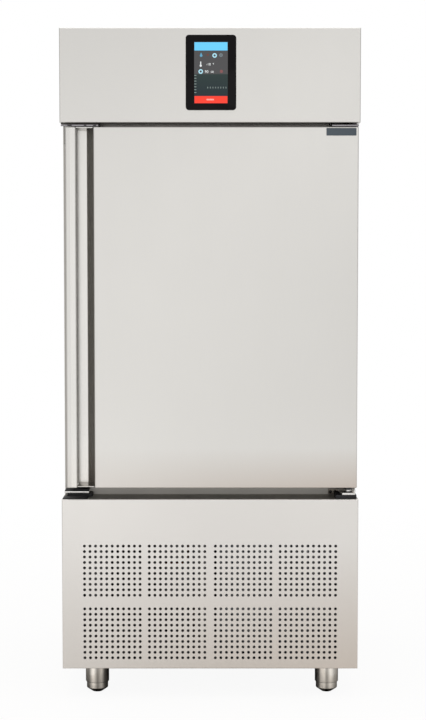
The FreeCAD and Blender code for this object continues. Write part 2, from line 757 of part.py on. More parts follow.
def pressing(inset, rise, slope):
    """A shallow field on the door's back whose edges slope down all round."""
    border = PRESSING_BORDER + inset
    span_x, span_z = door_back_span()
    field_x = (span_x[0] + border, span_x[1] - border)
    field_z = (span_z[0] + border, span_z[1] - border)
    top = DOOR_BACK + rise
    field = box(field_x, (DOOR_BACK - SHEET, top), field_z)
    return field.makeChamfer(slope, edges_within(field, field_x, (top, top), field_z))


def pressing_hollow():
    """The hollow behind the raised field, one sheet thickness inside it."""
    return pressing(SHEET, PRESSING_RISE - SHEET, PRESSING_SLOPE - SHEET / 2)


def door_inner_pan():
    """The back of the door: a flat sheet with a raised middle field."""
    span_x, span_z = door_back_span()
    sheet = box(span_x, (DOOR_BACK - SHEET, DOOR_BACK), span_z)
    raised = pressing(0, PRESSING_RISE, PRESSING_SLOPE)
    return sheet.fuse(raised).cut(pressing_hollow())


def door_foam():
    """Rigid foam that fills the door between its skin and its inner pan."""
    foam = door_core()
    span_x, span_z = door_back_span()
    foam = foam.cut(box(span_x, (DOOR_BACK - SHEET, DOOR_BACK + OVERCUT), span_z))
    return foam.fuse(pressing_hollow()).cut(bush_holes())


def gasket_layer(inset, span_y):
    """One rectangular ring of the gasket's section."""
    half = GASKET_HALF - inset
    span_z = (GASKET_BOTTOM + inset, GASKET_TOP - inset)
    width = GASKET_WIDTH - 2 * inset
    outer = box((-half, half), span_y, span_z)
    inner_half = half - width
    inner_z = (span_z[0] + width, span_z[1] - width)
    return outer.cut(box((-inner_half, inner_half), span_y, inner_z))


def door_gasket():
    """Magnetic gasket: a foot on the door, a narrow neck and the sealing bulb."""
    face = BODY_Y - GASKET_GAP
    foot_top = DOOR_BACK + GASKET_FOOT
    neck_top = DOOR_BACK + GASKET_NECK_TOP
    foot = gasket_layer(0, (DOOR_BACK, foot_top))
    neck = gasket_layer(GASKET_NECK_INSET, (foot_top, neck_top))
    bulb = gasket_layer(GASKET_BULB_INSET, (neck_top, face))
    return foot.fuse([neck, bulb])


def badge_plate():
    """A small bare plate on the door's top right corner."""
    span_x = (BADGE_LEFT, BADGE_RIGHT)
    span_z = (BADGE_BOTTOM, BADGE_TOP)
    plate = box(span_x, (DOOR_Y - BADGE_THICK, DOOR_Y), span_z)
    corners = [edge for edge in plate.Edges if edge.BoundBox.YLength > BADGE_THICK / 2]
    plate = plate.makeFillet(BADGE_CORNER, corners)
    face_y = (DOOR_Y - BADGE_THICK, DOOR_Y - BADGE_THICK)
    return plate.makeChamfer(BADGE_CHAMFER, edges_within(plate, span_x, face_y, span_z))


# ---- Feet --------------------------------------------------------------------
def leg_places():
    return [(x + LEG_SHIFT, y) for y in (-LEG_Y, LEG_Y) for x in (-LEG_X, LEG_X)]


def leg_sleeves():
    """Four tubes under the base, each closed on top by a threaded cap."""
    sleeves = []
    for x, y in leg_places():
        low = V(x, y, SLEEVE_BOTTOM)
        cap_low = V(x, y, CLEAR_UNDER - SLEEVE_CAP)
        top = V(x, y, CLEAR_UNDER)
        tube = rod(low, top, SLEEVE_RADIUS)
        tube = tube.cut(rod(low, cap_low, SLEEVE_RADIUS - SLEEVE_WALL))
        sleeves.append(tube.cut(rod(cap_low, top, STUD_RADIUS + STUD_CLEARANCE)))
    return sleeves


def adjusting_foot(x, y):
    """A round foot that ends in a cone, with the stud that screws into its sleeve."""
    cone = Part.makeCone(FOOT_FLAT_RADIUS, FOOT_RADIUS, FOOT_CONE, V(x, y, 0))
    drum = rod(V(x, y, FOOT_CONE), V(x, y, FOOT_TOP), FOOT_RADIUS)
    stud = rod(V(x, y, FOOT_TOP), V(x, y, STUD_TOP), STUD_RADIUS)
    return cone.fuse([drum, stud]).removeSplitter()


# ---- Tray racks --------------------------------------------------------------
def tray_rack():
    """The right rack: two posts and a bent rail for each level."""
    post_x = (POST_OUTER - POST_SIZE, POST_OUTER)
    top_level = LEVEL_BOTTOM + (LEVELS - 1) * LEVEL_PITCH
    post_z = (LEVEL_BOTTOM - POST_MARGIN, top_level + POST_MARGIN)
    half = POST_SIZE / 2
    pieces = []
    for y in (POST_FRONT_Y, POST_BACK_Y):
        pieces.append(box(post_x, (y - half, y + half), post_z))
    route = [
        V(post_x[0], POST_FRONT_Y, LEVEL_BOTTOM),
        V(RAIL_X, POST_FRONT_Y, LEVEL_BOTTOM),
        V(RAIL_X, POST_BACK_Y, LEVEL_BOTTOM),
        V(post_x[0], POST_BACK_Y, LEVEL_BOTTOM),
    ]
    rail = pipe(route, RAIL_RADIUS, RAIL_BEND)
    for level in range(LEVELS):
        pieces.append(rail.translated(V(0, 0, level * LEVEL_PITCH)))
    return pieces


def rack_studs():
    """Round studs on the chamber's walls that hold the racks' posts."""
    top_level = LEVEL_BOTTOM + (LEVELS - 1) * LEVEL_PITCH
    studs = []
    for z in (LEVEL_BOTTOM + LEVEL_PITCH / 2, top_level - LEVEL_PITCH / 2):
        for y in (POST_FRONT_Y, POST_BACK_Y):
            stud = rod(V(POST_OUTER, y, z), V(CHAMBER_HALF, y, z), POST_SIZE / 2)
            studs += [stud, mirrored(stud)]
    return studs


# ---- Axial fans --------------------------------------------------------------
def fan_guard(centre, toward, hole_radius):
    """A flat guard of rings and spokes whose rim lies round the fan's opening."""
    thick = toward * FAN_GUARD_THICK
    rim_outer = hole_radius + FAN_GUARD_OVERLAP
    rings = 4
    spokes = 6
    first_angle = 15.0
    pitch = (rim_outer - FAN_STATOR_RADIUS) / rings
    radii = [FAN_STATOR_RADIUS + pitch * (ring + 1) for ring in range(rings)]
    wires = [rod(centre, centre + thick, FAN_STATOR_RADIUS)]
    for radius in radii:
        wide = rod(centre, centre + thick, radius)
        wires.append(wide.cut(rod(centre, centre + thick, radius - FAN_GUARD_WIRE)))
    for spoke in range(spokes):
        bar = Part.makeBox(rim_outer - FAN_GUARD_WIRE / 2, FAN_GUARD_THICK, FAN_GUARD_WIRE)
        bar.translate(V(0, 0 if toward.y > 0 else -FAN_GUARD_THICK, -FAN_GUARD_WIRE / 2))
        bar.rotate(V(0, 0, 0), V(0, 1, 0), first_angle + spoke * 360 / spokes)
        wires.append(bar.translated(centre))
    return wires[0].fuse(wires[1:]).removeSplitter()


def fan_stator(centre, toward):
    """The motor's fixed half, bolted to the guard, with the bore for its shaft."""
    start = centre + toward * FAN_GUARD_THICK
    end = start + toward * FAN_STATOR_LENGTH
    bore = FAN_SHAFT_RADIUS + FAN_SHAFT_CLEARANCE
    return rod(start, end, FAN_STATOR_RADIUS).cut(rod(start, end, bore))


def fan_rotor(centre, toward, radius):
    """The motor's turning half: cup, shaft and pitched blades in one piece."""
    guard_back = centre + toward * FAN_GUARD_THICK
    start = guard_back + toward * (FAN_STATOR_LENGTH + FAN_CUP_GAP)
    end = start + toward * FAN_CUP_LENGTH
    cup = rod(start, end, FAN_CUP_RADIUS)
    shaft = rod(guard_back + toward * FAN_CUP_GAP, start, FAN_SHAFT_RADIUS)
    middle = start + toward * (FAN_CUP_LENGTH / 2)
    root = FAN_CUP_RADIUS - FAN_BLADE_SINK
    blades = []
    for blade in range(FAN_BLADES):
        vane = Part.makeBox(radius - root, FAN_BLADE_THICK, FAN_BLADE_CHORD)
        vane.translate(V(root, -FAN_BLADE_THICK / 2, -FAN_BLADE_CHORD / 2))
        upright = [edge for edge in vane.Edges if edge.BoundBox.YLength > FAN_BLADE_THICK / 2]
        tips = [edge for edge in upright if edge.BoundBox.XMin > FAN_CUP_RADIUS]
        vane = vane.makeFillet(FAN_BLADE_CORNER, tips)
        vane.rotate(V(0, 0, 0), V(1, 0, 0), FAN_BLADE_PITCH)
        vane.rotate(V(0, 0, 0), V(0, 1, 0), blade * 360 / FAN_BLADES)
        blades.append(vane.translated(middle))
    turned = cup.fuse([shaft] + blades)
    return turned.common(rod(guard_back, end, radius)).removeSplitter()


def cold_fan_places():
    """Guard centres of the two chamber fans, on the front of the deflector."""
    return [V(0, DEFLECTOR_Y - FAN_GUARD_THICK, z) for z in COLD_FAN_HEIGHTS]


def warm_fan_place():
    """Guard centre of the condenser fan, on the back rim of its shroud."""
    return V(WARM_FAN_X, WARM_COIL_BACK + SHROUD_DEPTH + FAN_GUARD_THICK, WARM_FAN_Z)


def fan_guards():
    cold_hole = COLD_FAN_RADIUS + FAN_HOLE_MARGIN
    warm_hole = WARM_FAN_RADIUS + FAN_HOLE_MARGIN
    cold = [fan_guard(place, V(0, 1, 0), cold_hole) for place in cold_fan_places()]
    return cold + [fan_guard(warm_fan_place(), V(0, -1, 0), warm_hole)]


def fan_motors():
    cold = [fan_stator(place, V(0, 1, 0)) for place in cold_fan_places()]
    return cold + [fan_stator(warm_fan_place(), V(0, -1, 0))]


def fan_deflector():
    """The sheet across the chamber that carries the fans; air returns at its sides."""
    span_y = (DEFLECTOR_Y, DEFLECTOR_Y + SHEET)
    sheet = box((-DEFLECTOR_HALF, DEFLECTOR_HALF), span_y, (CHAMBER_BOTTOM, CHAMBER_TOP))
    openings = []
    for place in cold_fan_places():
        radius = COLD_FAN_RADIUS + FAN_HOLE_MARGIN
        openings.append(rod(place, place + V(0, 2 * FAN_GUARD_THICK, 0), radius))
    return sheet.cut(Part.makeCompound(openings))


def condenser_shroud():
    """The plate behind the condenser with the round opening for its fan's duct."""
    span_x = (WARM_COIL_LEFT, WARM_COIL_RIGHT)
    span_y = (WARM_COIL_BACK, WARM_COIL_BACK + SHEET)
    plate = box(span_x, span_y, (BASE_TOP, WARM_COIL_TOP))
    front = V(WARM_FAN_X, WARM_COIL_BACK, WARM_FAN_Z)
    return plate.cut(rod(front, front + V(0, SHEET, 0), WARM_FAN_RADIUS + FAN_HOLE_MARGIN))


def fan_duct():
    """The round duct on the shroud, in which the condenser fan turns."""
    radius = WARM_FAN_RADIUS + FAN_HOLE_MARGIN
    front = V(WARM_FAN_X, WARM_COIL_BACK + SHEET, WARM_FAN_Z)
    rear = V(WARM_FAN_X, WARM_COIL_BACK + SHROUD_DEPTH, WARM_FAN_Z)
    return rod(front, rear, radius + SHEET).cut(rod(front, rear, radius))


# ---- Coils -------------------------------------------------------------------
def finned_block(span_x, span_y, span_z, pitch):
    """Upright fins joined by a thin sheet along their back edge."""
    bays = int((span_x[1] - span_x[0]) / pitch)
    step = (span_x[1] - span_x[0] - FIN_THICK) / bays
    gullet = span_y[1] - SPINE
    corners = [V(span_x[0], span_y[1], span_z[0]), V(span_x[0], span_y[0], span_z[0])]
    for bay in range(bays):
        left = span_x[0] + bay * step + FIN_THICK
        right = span_x[0] + (bay + 1) * step
        corners.append(V(left, span_y[0], span_z[0]))
        corners.append(V(left, gullet, span_z[0]))
        corners.append(V(right, gullet, span_z[0]))
        corners.append(V(right, span_y[0], span_z[0]))
    corners.append(V(span_x[1], span_y[0], span_z[0]))
    corners.append(V(span_x[1], span_y[1], span_z[0]))
    corners.append(corners[0])
    return Part.Face(Part.makePolygon(corners)).extrude(V(0, 0, span_z[1] - span_z[0]))


def return_bends(x, outward, rows, span_z):
    """The U-shaped tube ends that stand out of one end of a coil."""
    reach = 15.0
    pitch = 2 * reach
    bends = []
    count = int((span_z[1] - span_z[0]) / (2 * pitch)) - 1
    for y in rows:
        first = V(x - outward * FIN_THICK, y, span_z[0] + pitch)
        over = V(outward * (reach + FIN_THICK), 0, 0)
        up = V(0, 0, pitch)
        loop = pipe([first, first + over, first + over + up, first + up], LIQUID_PIPE, reach - 1)
        for turn in range(count):
            bends.append(loop.translated(up * (2 * turn)))
    return bends


def evaporator_coil():
    """The finned coil behind the deflector, fixed to the chamber's back wall."""
    span_x = (-COIL_HALF, COIL_HALF)
    span_y = (COIL_FRONT, CHAMBER_BACK)
    span_z = (COIL_BOTTOM, COIL_TOP)
    block = finned_block(span_x, span_y, span_z, COLD_FIN_PITCH)
    row_inset = 22.0
    rows = (COIL_FRONT + row_inset, CHAMBER_BACK - row_inset)
    bends = return_bends(COIL_HALF, 1, rows, span_z)
    bends += return_bends(-COIL_HALF, -1, rows, span_z)
    return block.fuse(bends)


def condenser_coil():
    """The finned coil behind the perforated panel, standing on the base."""
    span_x = (WARM_COIL_LEFT, WARM_COIL_RIGHT)
    span_y = (WARM_COIL_FRONT, WARM_COIL_BACK)
    span_z = (BASE_TOP, WARM_COIL_TOP)
    block = finned_block(span_x, span_y, span_z, WARM_FIN_PITCH)
    row_inset = 12.0
    rows = (WARM_COIL_FRONT + row_inset, WARM_COIL_BACK - row_inset)
    return block.fuse(return_bends(WARM_COIL_RIGHT, 1, rows, span_z))


# ---- Refrigeration machine -----------------------------------------------------
def compressor():
    """A hermetic can, its foot plate, and the pump and motor block inside the can."""
    x = COMPRESSOR_X
    y = COMPRESSOR_Y
    can = domed_can(x, y, COMPRESSOR_BOTTOM, COMPRESSOR_SHOULDER, COMPRESSOR_DOME, COMPRESSOR_RADIUS)
    inner_bottom = COMPRESSOR_BOTTOM + COMPRESSOR_WALL
    inner_radius = COMPRESSOR_RADIUS - COMPRESSOR_WALL
    inner_dome = COMPRESSOR_DOME - COMPRESSOR_WALL
    hollow = domed_can(x, y, inner_bottom, COMPRESSOR_SHOULDER, inner_dome, inner_radius)
    foot_half_x = 96.0
    foot_half_y = 80.0
    foot_z = (BASE_TOP + MOUNT_HEIGHT, COMPRESSOR_BOTTOM)
    foot = box((x - foot_half_x, x + foot_half_x), (y - foot_half_y, y + foot_half_y), foot_z)
    core_radius = 58.0
    core_height = 150.0
    core = rod(V(x, y, inner_bottom), V(x, y, inner_bottom + core_height), core_radius)
    return [can.cut(hollow), foot, core]


def compressor_mounts():
    """Four rubber feet between the compressor and the base."""
    radius = 14.0
    spread_x = 80.0
    spread_y = 64.0
    mounts = []
    for x in (COMPRESSOR_X - spread_x, COMPRESSOR_X + spread_x):
        for y in (COMPRESSOR_Y - spread_y, COMPRESSOR_Y + spread_y):
            low = V(x, y, BASE_TOP)
            mounts.append(rod(low, low + V(0, 0, MOUNT_HEIGHT), radius))
    return mounts


def terminal_cover():
    """The box over the compressor's terminals, shaped to the can."""
    half = 34.0
    out = 26.0
    front = COMPRESSOR_Y - COMPRESSOR_RADIUS
    span_x = (COMPRESSOR_X - half, COMPRESSOR_X + half)
    cover_z = (170.0, 250.0)
    cover = box(span_x, (front - out, front + out), cover_z)
    low = V(COMPRESSOR_X, COMPRESSOR_Y, COMPRESSOR_BOTTOM)
    high = V(COMPRESSOR_X, COMPRESSOR_Y, COMPRESSOR_SHOULDER)
    return cover.cut(rod(low, high, COMPRESSOR_RADIUS))


def liquid_receiver():
    """An upright steel bottle that holds the liquid refrigerant."""
    x = RECEIVER_X
    y = RECEIVER_Y
    bottle = domed_can(x, y, BASE_TOP, RECEIVER_SHOULDER, RECEIVER_DOME, RECEIVER_RADIUS)
    inner_bottom = BASE_TOP + RECEIVER_WALL
    inner_dome = RECEIVER_DOME - RECEIVER_WALL
    inner_radius = RECEIVER_RADIUS - RECEIVER_WALL
    return bottle.cut(domed_can(x, y, inner_bottom, RECEIVER_SHOULDER, inner_dome, inner_radius))


def filter_drier():
    """A short fat cartridge with tapered ends in the liquid line."""
    radius = 16.0
    taper = 14.0
    low = V(RECEIVER_X, RECEIVER_Y, DRIER_BOTTOM)
    high = V(RECEIVER_X, RECEIVER_Y, DRIER_TOP)
    rise = V(0, 0, taper)
    lower = Part.makeCone(LIQUID_PIPE, radius, taper, low)
    upper = Part.makeCone(radius, LIQUID_PIPE, taper, high - rise)
    return lower.fuse([rod(low + rise, high - rise, radius), upper])


def refrigerant_pipes():
    """Discharge, condensate, liquid and suction lines."""
    can_side = COMPRESSOR_X + COMPRESSOR_RADIUS
    can_top = COMPRESSOR_SHOULDER + COMPRESSOR_DOME
    coil_y = (WARM_COIL_FRONT + WARM_COIL_BACK) / 2
    riser_x = -70.0
    out_z = 280.0
    high = 450.0
    discharge = [
        V(can_side, COMPRESSOR_Y, out_z),
        V(riser_x, COMPRESSOR_Y, out_z),
        V(riser_x, COMPRESSOR_Y, high),
        V(riser_x, coil_y, high),
        V(WARM_COIL_LEFT, coil_y, high),
    ]
    low = 130.0
    low_x = -55.0
    condensate = [
        V(WARM_COIL_LEFT, coil_y, low),
        V(low_x, coil_y, low),
        V(low_x, RECEIVER_Y, low),
        V(RECEIVER_X - RECEIVER_RADIUS, RECEIVER_Y, low),
    ]
    rise = 500.0
    inlet = 720.0
    outlet = 1400.0
    receiver_top = V(RECEIVER_X, RECEIVER_Y, RECEIVER_SHOULDER + RECEIVER_DOME)
    to_drier = rod(receiver_top, V(RECEIVER_X, RECEIVER_Y, DRIER_BOTTOM), LIQUID_PIPE)
    liquid = [
        V(RECEIVER_X, RECEIVER_Y, DRIER_TOP),
        V(RECEIVER_X, RECEIVER_Y, rise),
        V(LIQUID_X, RECEIVER_Y, rise),
        V(LIQUID_X, RECEIVER_Y, inlet),
        V(COIL_HALF, RECEIVER_Y, inlet),
    ]
    under = 521.0
    across_y = 150.0
    suction = [
        V(COIL_HALF, RECEIVER_Y, outlet),
        V(SUCTION_X, RECEIVER_Y, outlet),
        V(SUCTION_X, RECEIVER_Y, under),
        V(SUCTION_X, across_y, under),
        V(COMPRESSOR_X, across_y, under),
        V(COMPRESSOR_X, COMPRESSOR_Y, under),
        V(COMPRESSOR_X, COMPRESSOR_Y, can_top),
    ]
    return [
        pipe(discharge, LIQUID_PIPE, PIPE_BEND),
        pipe(condensate, LIQUID_PIPE, PIPE_BEND),
        to_drier,
        pipe(liquid, LIQUID_PIPE, PIPE_BEND),
        pipe(suction, SUCTION_PIPE, PIPE_BEND),
    ]


def drain_pipe():
    """The open drain from the chamber's floor down through the base."""
    low = V(DRAIN_X, DRAIN_Y, DRAIN_END)
    high = V(DRAIN_X, DRAIN_Y, CHAMBER_BOTTOM)
    return rod(low, high, DRAIN_RADIUS).cut(rod(low, high, DRAIN_RADIUS - DRAIN_WALL))


def gland_place():
    """Where the mains lead enters, on the outer face of the rear grille."""
    return V(GLAND_X, GRILLE_Y + SHEET, GLAND_Z)


def cable_gland():
    """A gland for the mains lead: collar, tapered nose, thread and inner nut."""
    place = gland_place()
    collar_end = place + V(0, GLAND_COLLAR, 0)
    thread_end = place - V(0, GLAND_THREAD_LENGTH, 0)
    nut_face = place - V(0, SHEET, 0)
    collar_radius = 15.0
    nose_base = 13.0
    nose_tip = 10.0
    nut_radius = 14.0
    collar = rod(place, collar_end, collar_radius)
    nose = Part.makeCone(nose_base, nose_tip, GLAND_NOSE, collar_end, V(0, 1, 0))
    thread = rod(thread_end, place, GLAND_THREAD)
    nut = rod(nut_face - V(0, GLAND_NUT, 0), nut_face, nut_radius)
    gland = collar.fuse([nose, thread, nut])
    return gland.cut(rod(thread_end, collar_end + V(0, GLAND_NOSE, 0), GLAND_BORE))


# ---- Control side ------------------------------------------------------------
def control_board():
    """The board on its standoffs, with relays, a transformer and capacitors."""
    board_x = (-340.0, -120.0)
    board_y = (-200.0, 0.0)
    board_z = (BODY_TOP + 12.0, BODY_TOP + 14.0)
    top = board_z[1]
    inset = 10.0
    edge = 30.0
    board = box(board_x, board_y, board_z)

    standoff_radius = 4.0
    screw_height = 3.0
    parts = []
    for x in (board_x[0] + inset, board_x[1] - inset):
        for y in (board_y[0] + inset, board_y[1] - inset):
            parts.append(rod(V(x, y, BODY_TOP), V(x, y, top + screw_height), standoff_radius))

    relays = 6
    relay_pitch = 26.0
    relay_size = V(18.0, 28.0, 16.0)
    relay_y = board_y[0] + edge
    for relay in range(relays):
        corner = V(board_x[0] + edge + relay * relay_pitch, relay_y, top)
        parts.append(Part.makeBox(relay_size.x, relay_size.y, relay_size.z, corner))

    transformer_size = V(50.0, 50.0, 36.0)
    transformer_y = board_y[1] - 90.0
    corner = V(board_x[0] + edge, transformer_y, top)
    parts.append(Part.makeBox(transformer_size.x, transformer_size.y, transformer_size.z, corner))

    capacitors = 3
    capacitor_pitch = 22.0
    capacitor_radius = 8.0
    capacitor_height = 26.0
    first_x = board_x[0] + 110.0
    capacitor_y = board_y[1] - 60.0
    for capacitor in range(capacitors):
        low = V(first_x + capacitor * capacitor_pitch, capacitor_y, top)
        parts.append(rod(low, low + V(0, 0, capacitor_height), capacitor_radius))
    return board.fuse(parts)


def contactor():
    """The compressor's switch: a block with screw terminals front and back."""
    left = 150.0
    width = 50.0
    depth = (-60.0, 20.0)
    shoulder = BODY_TOP + 70.0
    head_inset = V(10.0, 20.0, 0)
    head_height = 14.0
    poles = 3
    pole_pitch = 16.0
    notch_width = 8.0
    notch_depth = 12.0
    notch_height = 25.0
    body = box((left, left + width), depth, (BODY_TOP, shoulder))
    head_x = (left + head_inset.x, left + width - head_inset.x)
    head_y = (depth[0] + head_inset.y, depth[1] - head_inset.y)
    head = box(head_x, head_y, (shoulder, shoulder + head_height))
    notches = []
    first = left + (width - (poles - 1) * pole_pitch - notch_width) / 2
    notch_z = (shoulder - notch_height, shoulder + OVERCUT)
    for pole in range(poles):
        span_x = (first + pole * pole_pitch, first + pole * pole_pitch + notch_width)
        notches.append(box(span_x, (depth[0] - OVERCUT, depth[0] + notch_depth), notch_z))
        notches.append(box(span_x, (depth[1] - notch_depth, depth[1] + OVERCUT), notch_z))
    return body.fuse(head).cut(Part.makeCompound(notches))


def terminal_block():
    """A row of mains terminals with a slot for each wire."""
    left = 100.0
    poles = 10
    pitch = 12.0
    depth = (100.0, 140.0)
    height = 34.0
    slot_width = 6.0
    slot_depth = 10.0
    slot_z = (BODY_TOP + 12.0, BODY_TOP + 22.0)
    body = box((left, left + poles * pitch), depth, (BODY_TOP, BODY_TOP + height))
    slots = []
    for pole in range(poles):
        start = left + pole * pitch + (pitch - slot_width) / 2
        span_x = (start, start + slot_width)
        slots.append(box(span_x, (depth[0] - OVERCUT, depth[0] + slot_depth), slot_z))
        slots.append(box(span_x, (depth[1] - slot_depth, depth[1] + OVERCUT), slot_z))
    return body.cut(Part.makeCompound(slots))


def probe_socket():
    """The jack for the food probe on the chamber's right wall, near the door."""
    wall = V(CHAMBER_HALF, -250.0, 1440.0)
    collar_end = wall - V(6.0, 0, 0)
    barrel_end = wall - V(16.0, 0, 0)
    collar_radius = 14.0
    barrel_radius = 9.0
    jack_radius = 3.5
    socket = rod(wall, collar_end, collar_radius).fuse(rod(wall, barrel_end, barrel_radius))
    return socket.cut(rod(barrel_end, collar_end, jack_radius))


def door_sensor():
    """The magnetic door switch on the body's front, above the door's free edge."""
    sensor_x = (-394.0, -366.0)
    sensor_y = (BODY_Y - 15.0, BODY_Y)
    sensor_z = (TOP_BRACKET_BOTTOM, HEADER_BOTTOM - SEAM)
    corner = 1.5
    body = box(sensor_x, sensor_y, sensor_z)
    front = edges_within(body, sensor_x, (sensor_y[0], sensor_y[0]), sensor_z)
    return body.makeFillet(corner, front)


# ---- Screws ------------------------------------------------------------------
def screw_shanks(places, inward, depth):
    """The round holes that take the shanks of the screws."""
    return Part.makeCompound([rod(place, place + inward * depth, SCREW_SHANK) for place in places])


def cabinet_screws():
    """The visible screws of the back panel, the rear grille and the lower hinge."""
    forward = V(0, -1, 0)
    screws = [screw(place, forward, SHEET) for place in back_screw_places()]
    screws += [screw(place, forward, SHEET) for place in grille_screw_places()]
    screws += [screw(place, V(0, 1, 0), BRACKET_THICK) for place in bracket_screw_places()]
    return screws


# ---- All nodes ---------------------------------------------------------------
def all_nodes():
    """Every sub-part by its node name."""
    upper = cold_fan_places()[1]
    lower = cold_fan_places()[0]
    feet = leg_places()
    rack = tray_rack()
    nodes = {
        "right_side_panel": side_panel(),
        "left_side_panel": mirrored(side_panel()),
        "back_panel": back_panel(),
        "rear_grille": rear_grille(),
        "roof_panel": roof_panel(),
        "header_panel": header_panel(),
        "lower_front_panel": lower_front_panel(),
        "front_cheeks": front_cheeks(),
        "header_soffit": header_soffit(),
        "plinth_ledge": plinth_ledge(),
        "base_plate": base_plate(),
        "door_frame": door_frame(),
        "chamber_liner": chamber_liner(),
        "body_insulation": body_insulation(),
        "body_end_sheets": body_end_sheets(),
        "display_glass": display_glass(),
        "display_screen": display_screen(),
        "display_housing": display_housing(),
        "hinge_brackets": hinge_brackets(),
        "spare_hinge_plates": spare_hinge_plates(),
        "hinge_pads": hinge_pads(),
        "hinge_bushes": hinge_bushes(),
        "door_skin": door_skin(),
        "pull_end_caps": pull_end_caps(),
        "door_inner_pan": door_inner_pan(),
        "door_foam": door_foam(),
        "door_gasket": door_gasket(),
        "badge_plate": badge_plate(),
        "leg_sleeves": leg_sleeves(),
        "foot_front_left": adjusting_foot(*feet[0]),
        "foot_front_right": adjusting_foot(*feet[1]),
        "foot_rear_left": adjusting_foot(*feet[2]),
        "foot_rear_right": adjusting_foot(*feet[3]),
        "tray_rack_right": rack,
        "tray_rack_left": [mirrored(piece) for piece in rack],
        "rack_studs": rack_studs(),
        "fan_deflector": fan_deflector(),
        "fan_guards": fan_guards(),
        "fan_motors": fan_motors(),
        "upper_fan": fan_rotor(upper, V(0, 1, 0), COLD_FAN_RADIUS),
        "lower_fan": fan_rotor(lower, V(0, 1, 0), COLD_FAN_RADIUS),
        "condenser_fan": fan_rotor(warm_fan_place(), V(0, -1, 0), WARM_FAN_RADIUS),
        "evaporator_coil": evaporator_coil(),
        "condenser_coil": condenser_coil(),
        "condenser_shroud": condenser_shroud(),
        "fan_duct": fan_duct(),
        "compressor": compressor(),
        "compressor_mounts": compressor_mounts(),
        "terminal_cover": terminal_cover(),
        "liquid_receiver": liquid_receiver(),
        "filter_drier": filter_drier(),
        "refrigerant_pipes": refrigerant_pipes(),
        "drain_pipe": drain_pipe(),
        "cable_gland": cable_gland(),
        "control_board": control_board(),
        "contactor": contactor(),
        "terminal_block": terminal_block(),
        "probe_socket": probe_socket(),
        "door_sensor": door_sensor(),
        "cabinet_screws": cabinet_screws(),
    }
    return nodes


os.makedirs("parts", exist_ok=True)
for name, made in all_nodes().items():
    shape = Part.makeCompound(made) if isinstance(made, list) else made
    shape.exportStep("parts/" + name + ".step")
    print(name, len(shape.Solids), "solids", round(shape.Volume / 1000), "cm3", shape.isValid())
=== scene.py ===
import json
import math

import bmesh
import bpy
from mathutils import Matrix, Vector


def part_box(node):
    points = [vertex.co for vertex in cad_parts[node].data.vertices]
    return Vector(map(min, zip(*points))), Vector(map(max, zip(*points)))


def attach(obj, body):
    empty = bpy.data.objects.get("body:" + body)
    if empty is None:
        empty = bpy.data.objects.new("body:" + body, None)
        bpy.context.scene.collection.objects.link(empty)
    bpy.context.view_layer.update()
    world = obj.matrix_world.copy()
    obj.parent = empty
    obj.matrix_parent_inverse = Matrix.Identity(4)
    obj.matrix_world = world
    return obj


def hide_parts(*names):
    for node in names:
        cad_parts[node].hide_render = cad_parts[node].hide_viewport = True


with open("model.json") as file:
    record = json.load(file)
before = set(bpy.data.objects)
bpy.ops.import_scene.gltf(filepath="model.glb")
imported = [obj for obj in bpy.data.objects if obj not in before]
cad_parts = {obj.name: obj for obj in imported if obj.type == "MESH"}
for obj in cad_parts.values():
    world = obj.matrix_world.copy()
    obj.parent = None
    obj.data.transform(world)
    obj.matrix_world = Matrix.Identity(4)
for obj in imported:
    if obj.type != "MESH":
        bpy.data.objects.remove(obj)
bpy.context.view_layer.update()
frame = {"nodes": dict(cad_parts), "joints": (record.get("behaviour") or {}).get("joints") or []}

# %% [markdown]
# # A blast chiller, dressed
# A blast chiller is a tall steel cupboard that cools hot food fast. Its CAD model already gives
# every piece at its real size. This lesson gives each piece its finish, and models again, with
# smooth forms, what the flat-shaded CAD meshes show only roughly: round feet, bent rods, fans,
# the gasket and the display. All lengths are in metres, in the CAD model's own frame.


# %% [markdown]
# ## The camera
# The photograph is a front view from chest height, tilted down a little, with a long lens. Its
# perspective was measured from the edges of the header and the plinth: both are the same real
# width, so their widths in the picture give the distance and the tilt.

# %% Camera
FOCAL_PX = 1570.0
IMAGE_HEIGHT_PX = 720.0
SENSOR_MM = 36.0
CAMERA_DISTANCE = 4.2
CAMERA_HEIGHT = 1.1757
CAMERA_RIGHT = 0.0079
TILT_DOWN = 0.0611

front_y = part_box("header_panel")[0].y
camera_data = bpy.data.cameras.new("camera")
camera_data.sensor_fit = "VERTICAL"
camera_data.sensor_height = SENSOR_MM
camera_data.lens = FOCAL_PX / IMAGE_HEIGHT_PX * SENSOR_MM
camera = bpy.data.objects.new("camera", camera_data)
camera.location = (CAMERA_RIGHT, front_y - CAMERA_DISTANCE, CAMERA_HEIGHT)
camera.rotation_euler = (math.radians(90) - TILT_DOWN, 0, 0)
bpy.context.scene.collection.objects.link(camera)
bpy.context.scene.camera = camera
print("lens", round(camera_data.lens, 1), "mm")

# %% [markdown]
# ## Shader maths as Python
# A material's node tree is easier to read as an expression. The class below wraps one socket.
# Adding, multiplying or comparing two of them adds a Math node, so `0.3 + 0.1 * streaks` is a
# roughness. Colours go through Mix nodes, because a Math node would turn them grey.


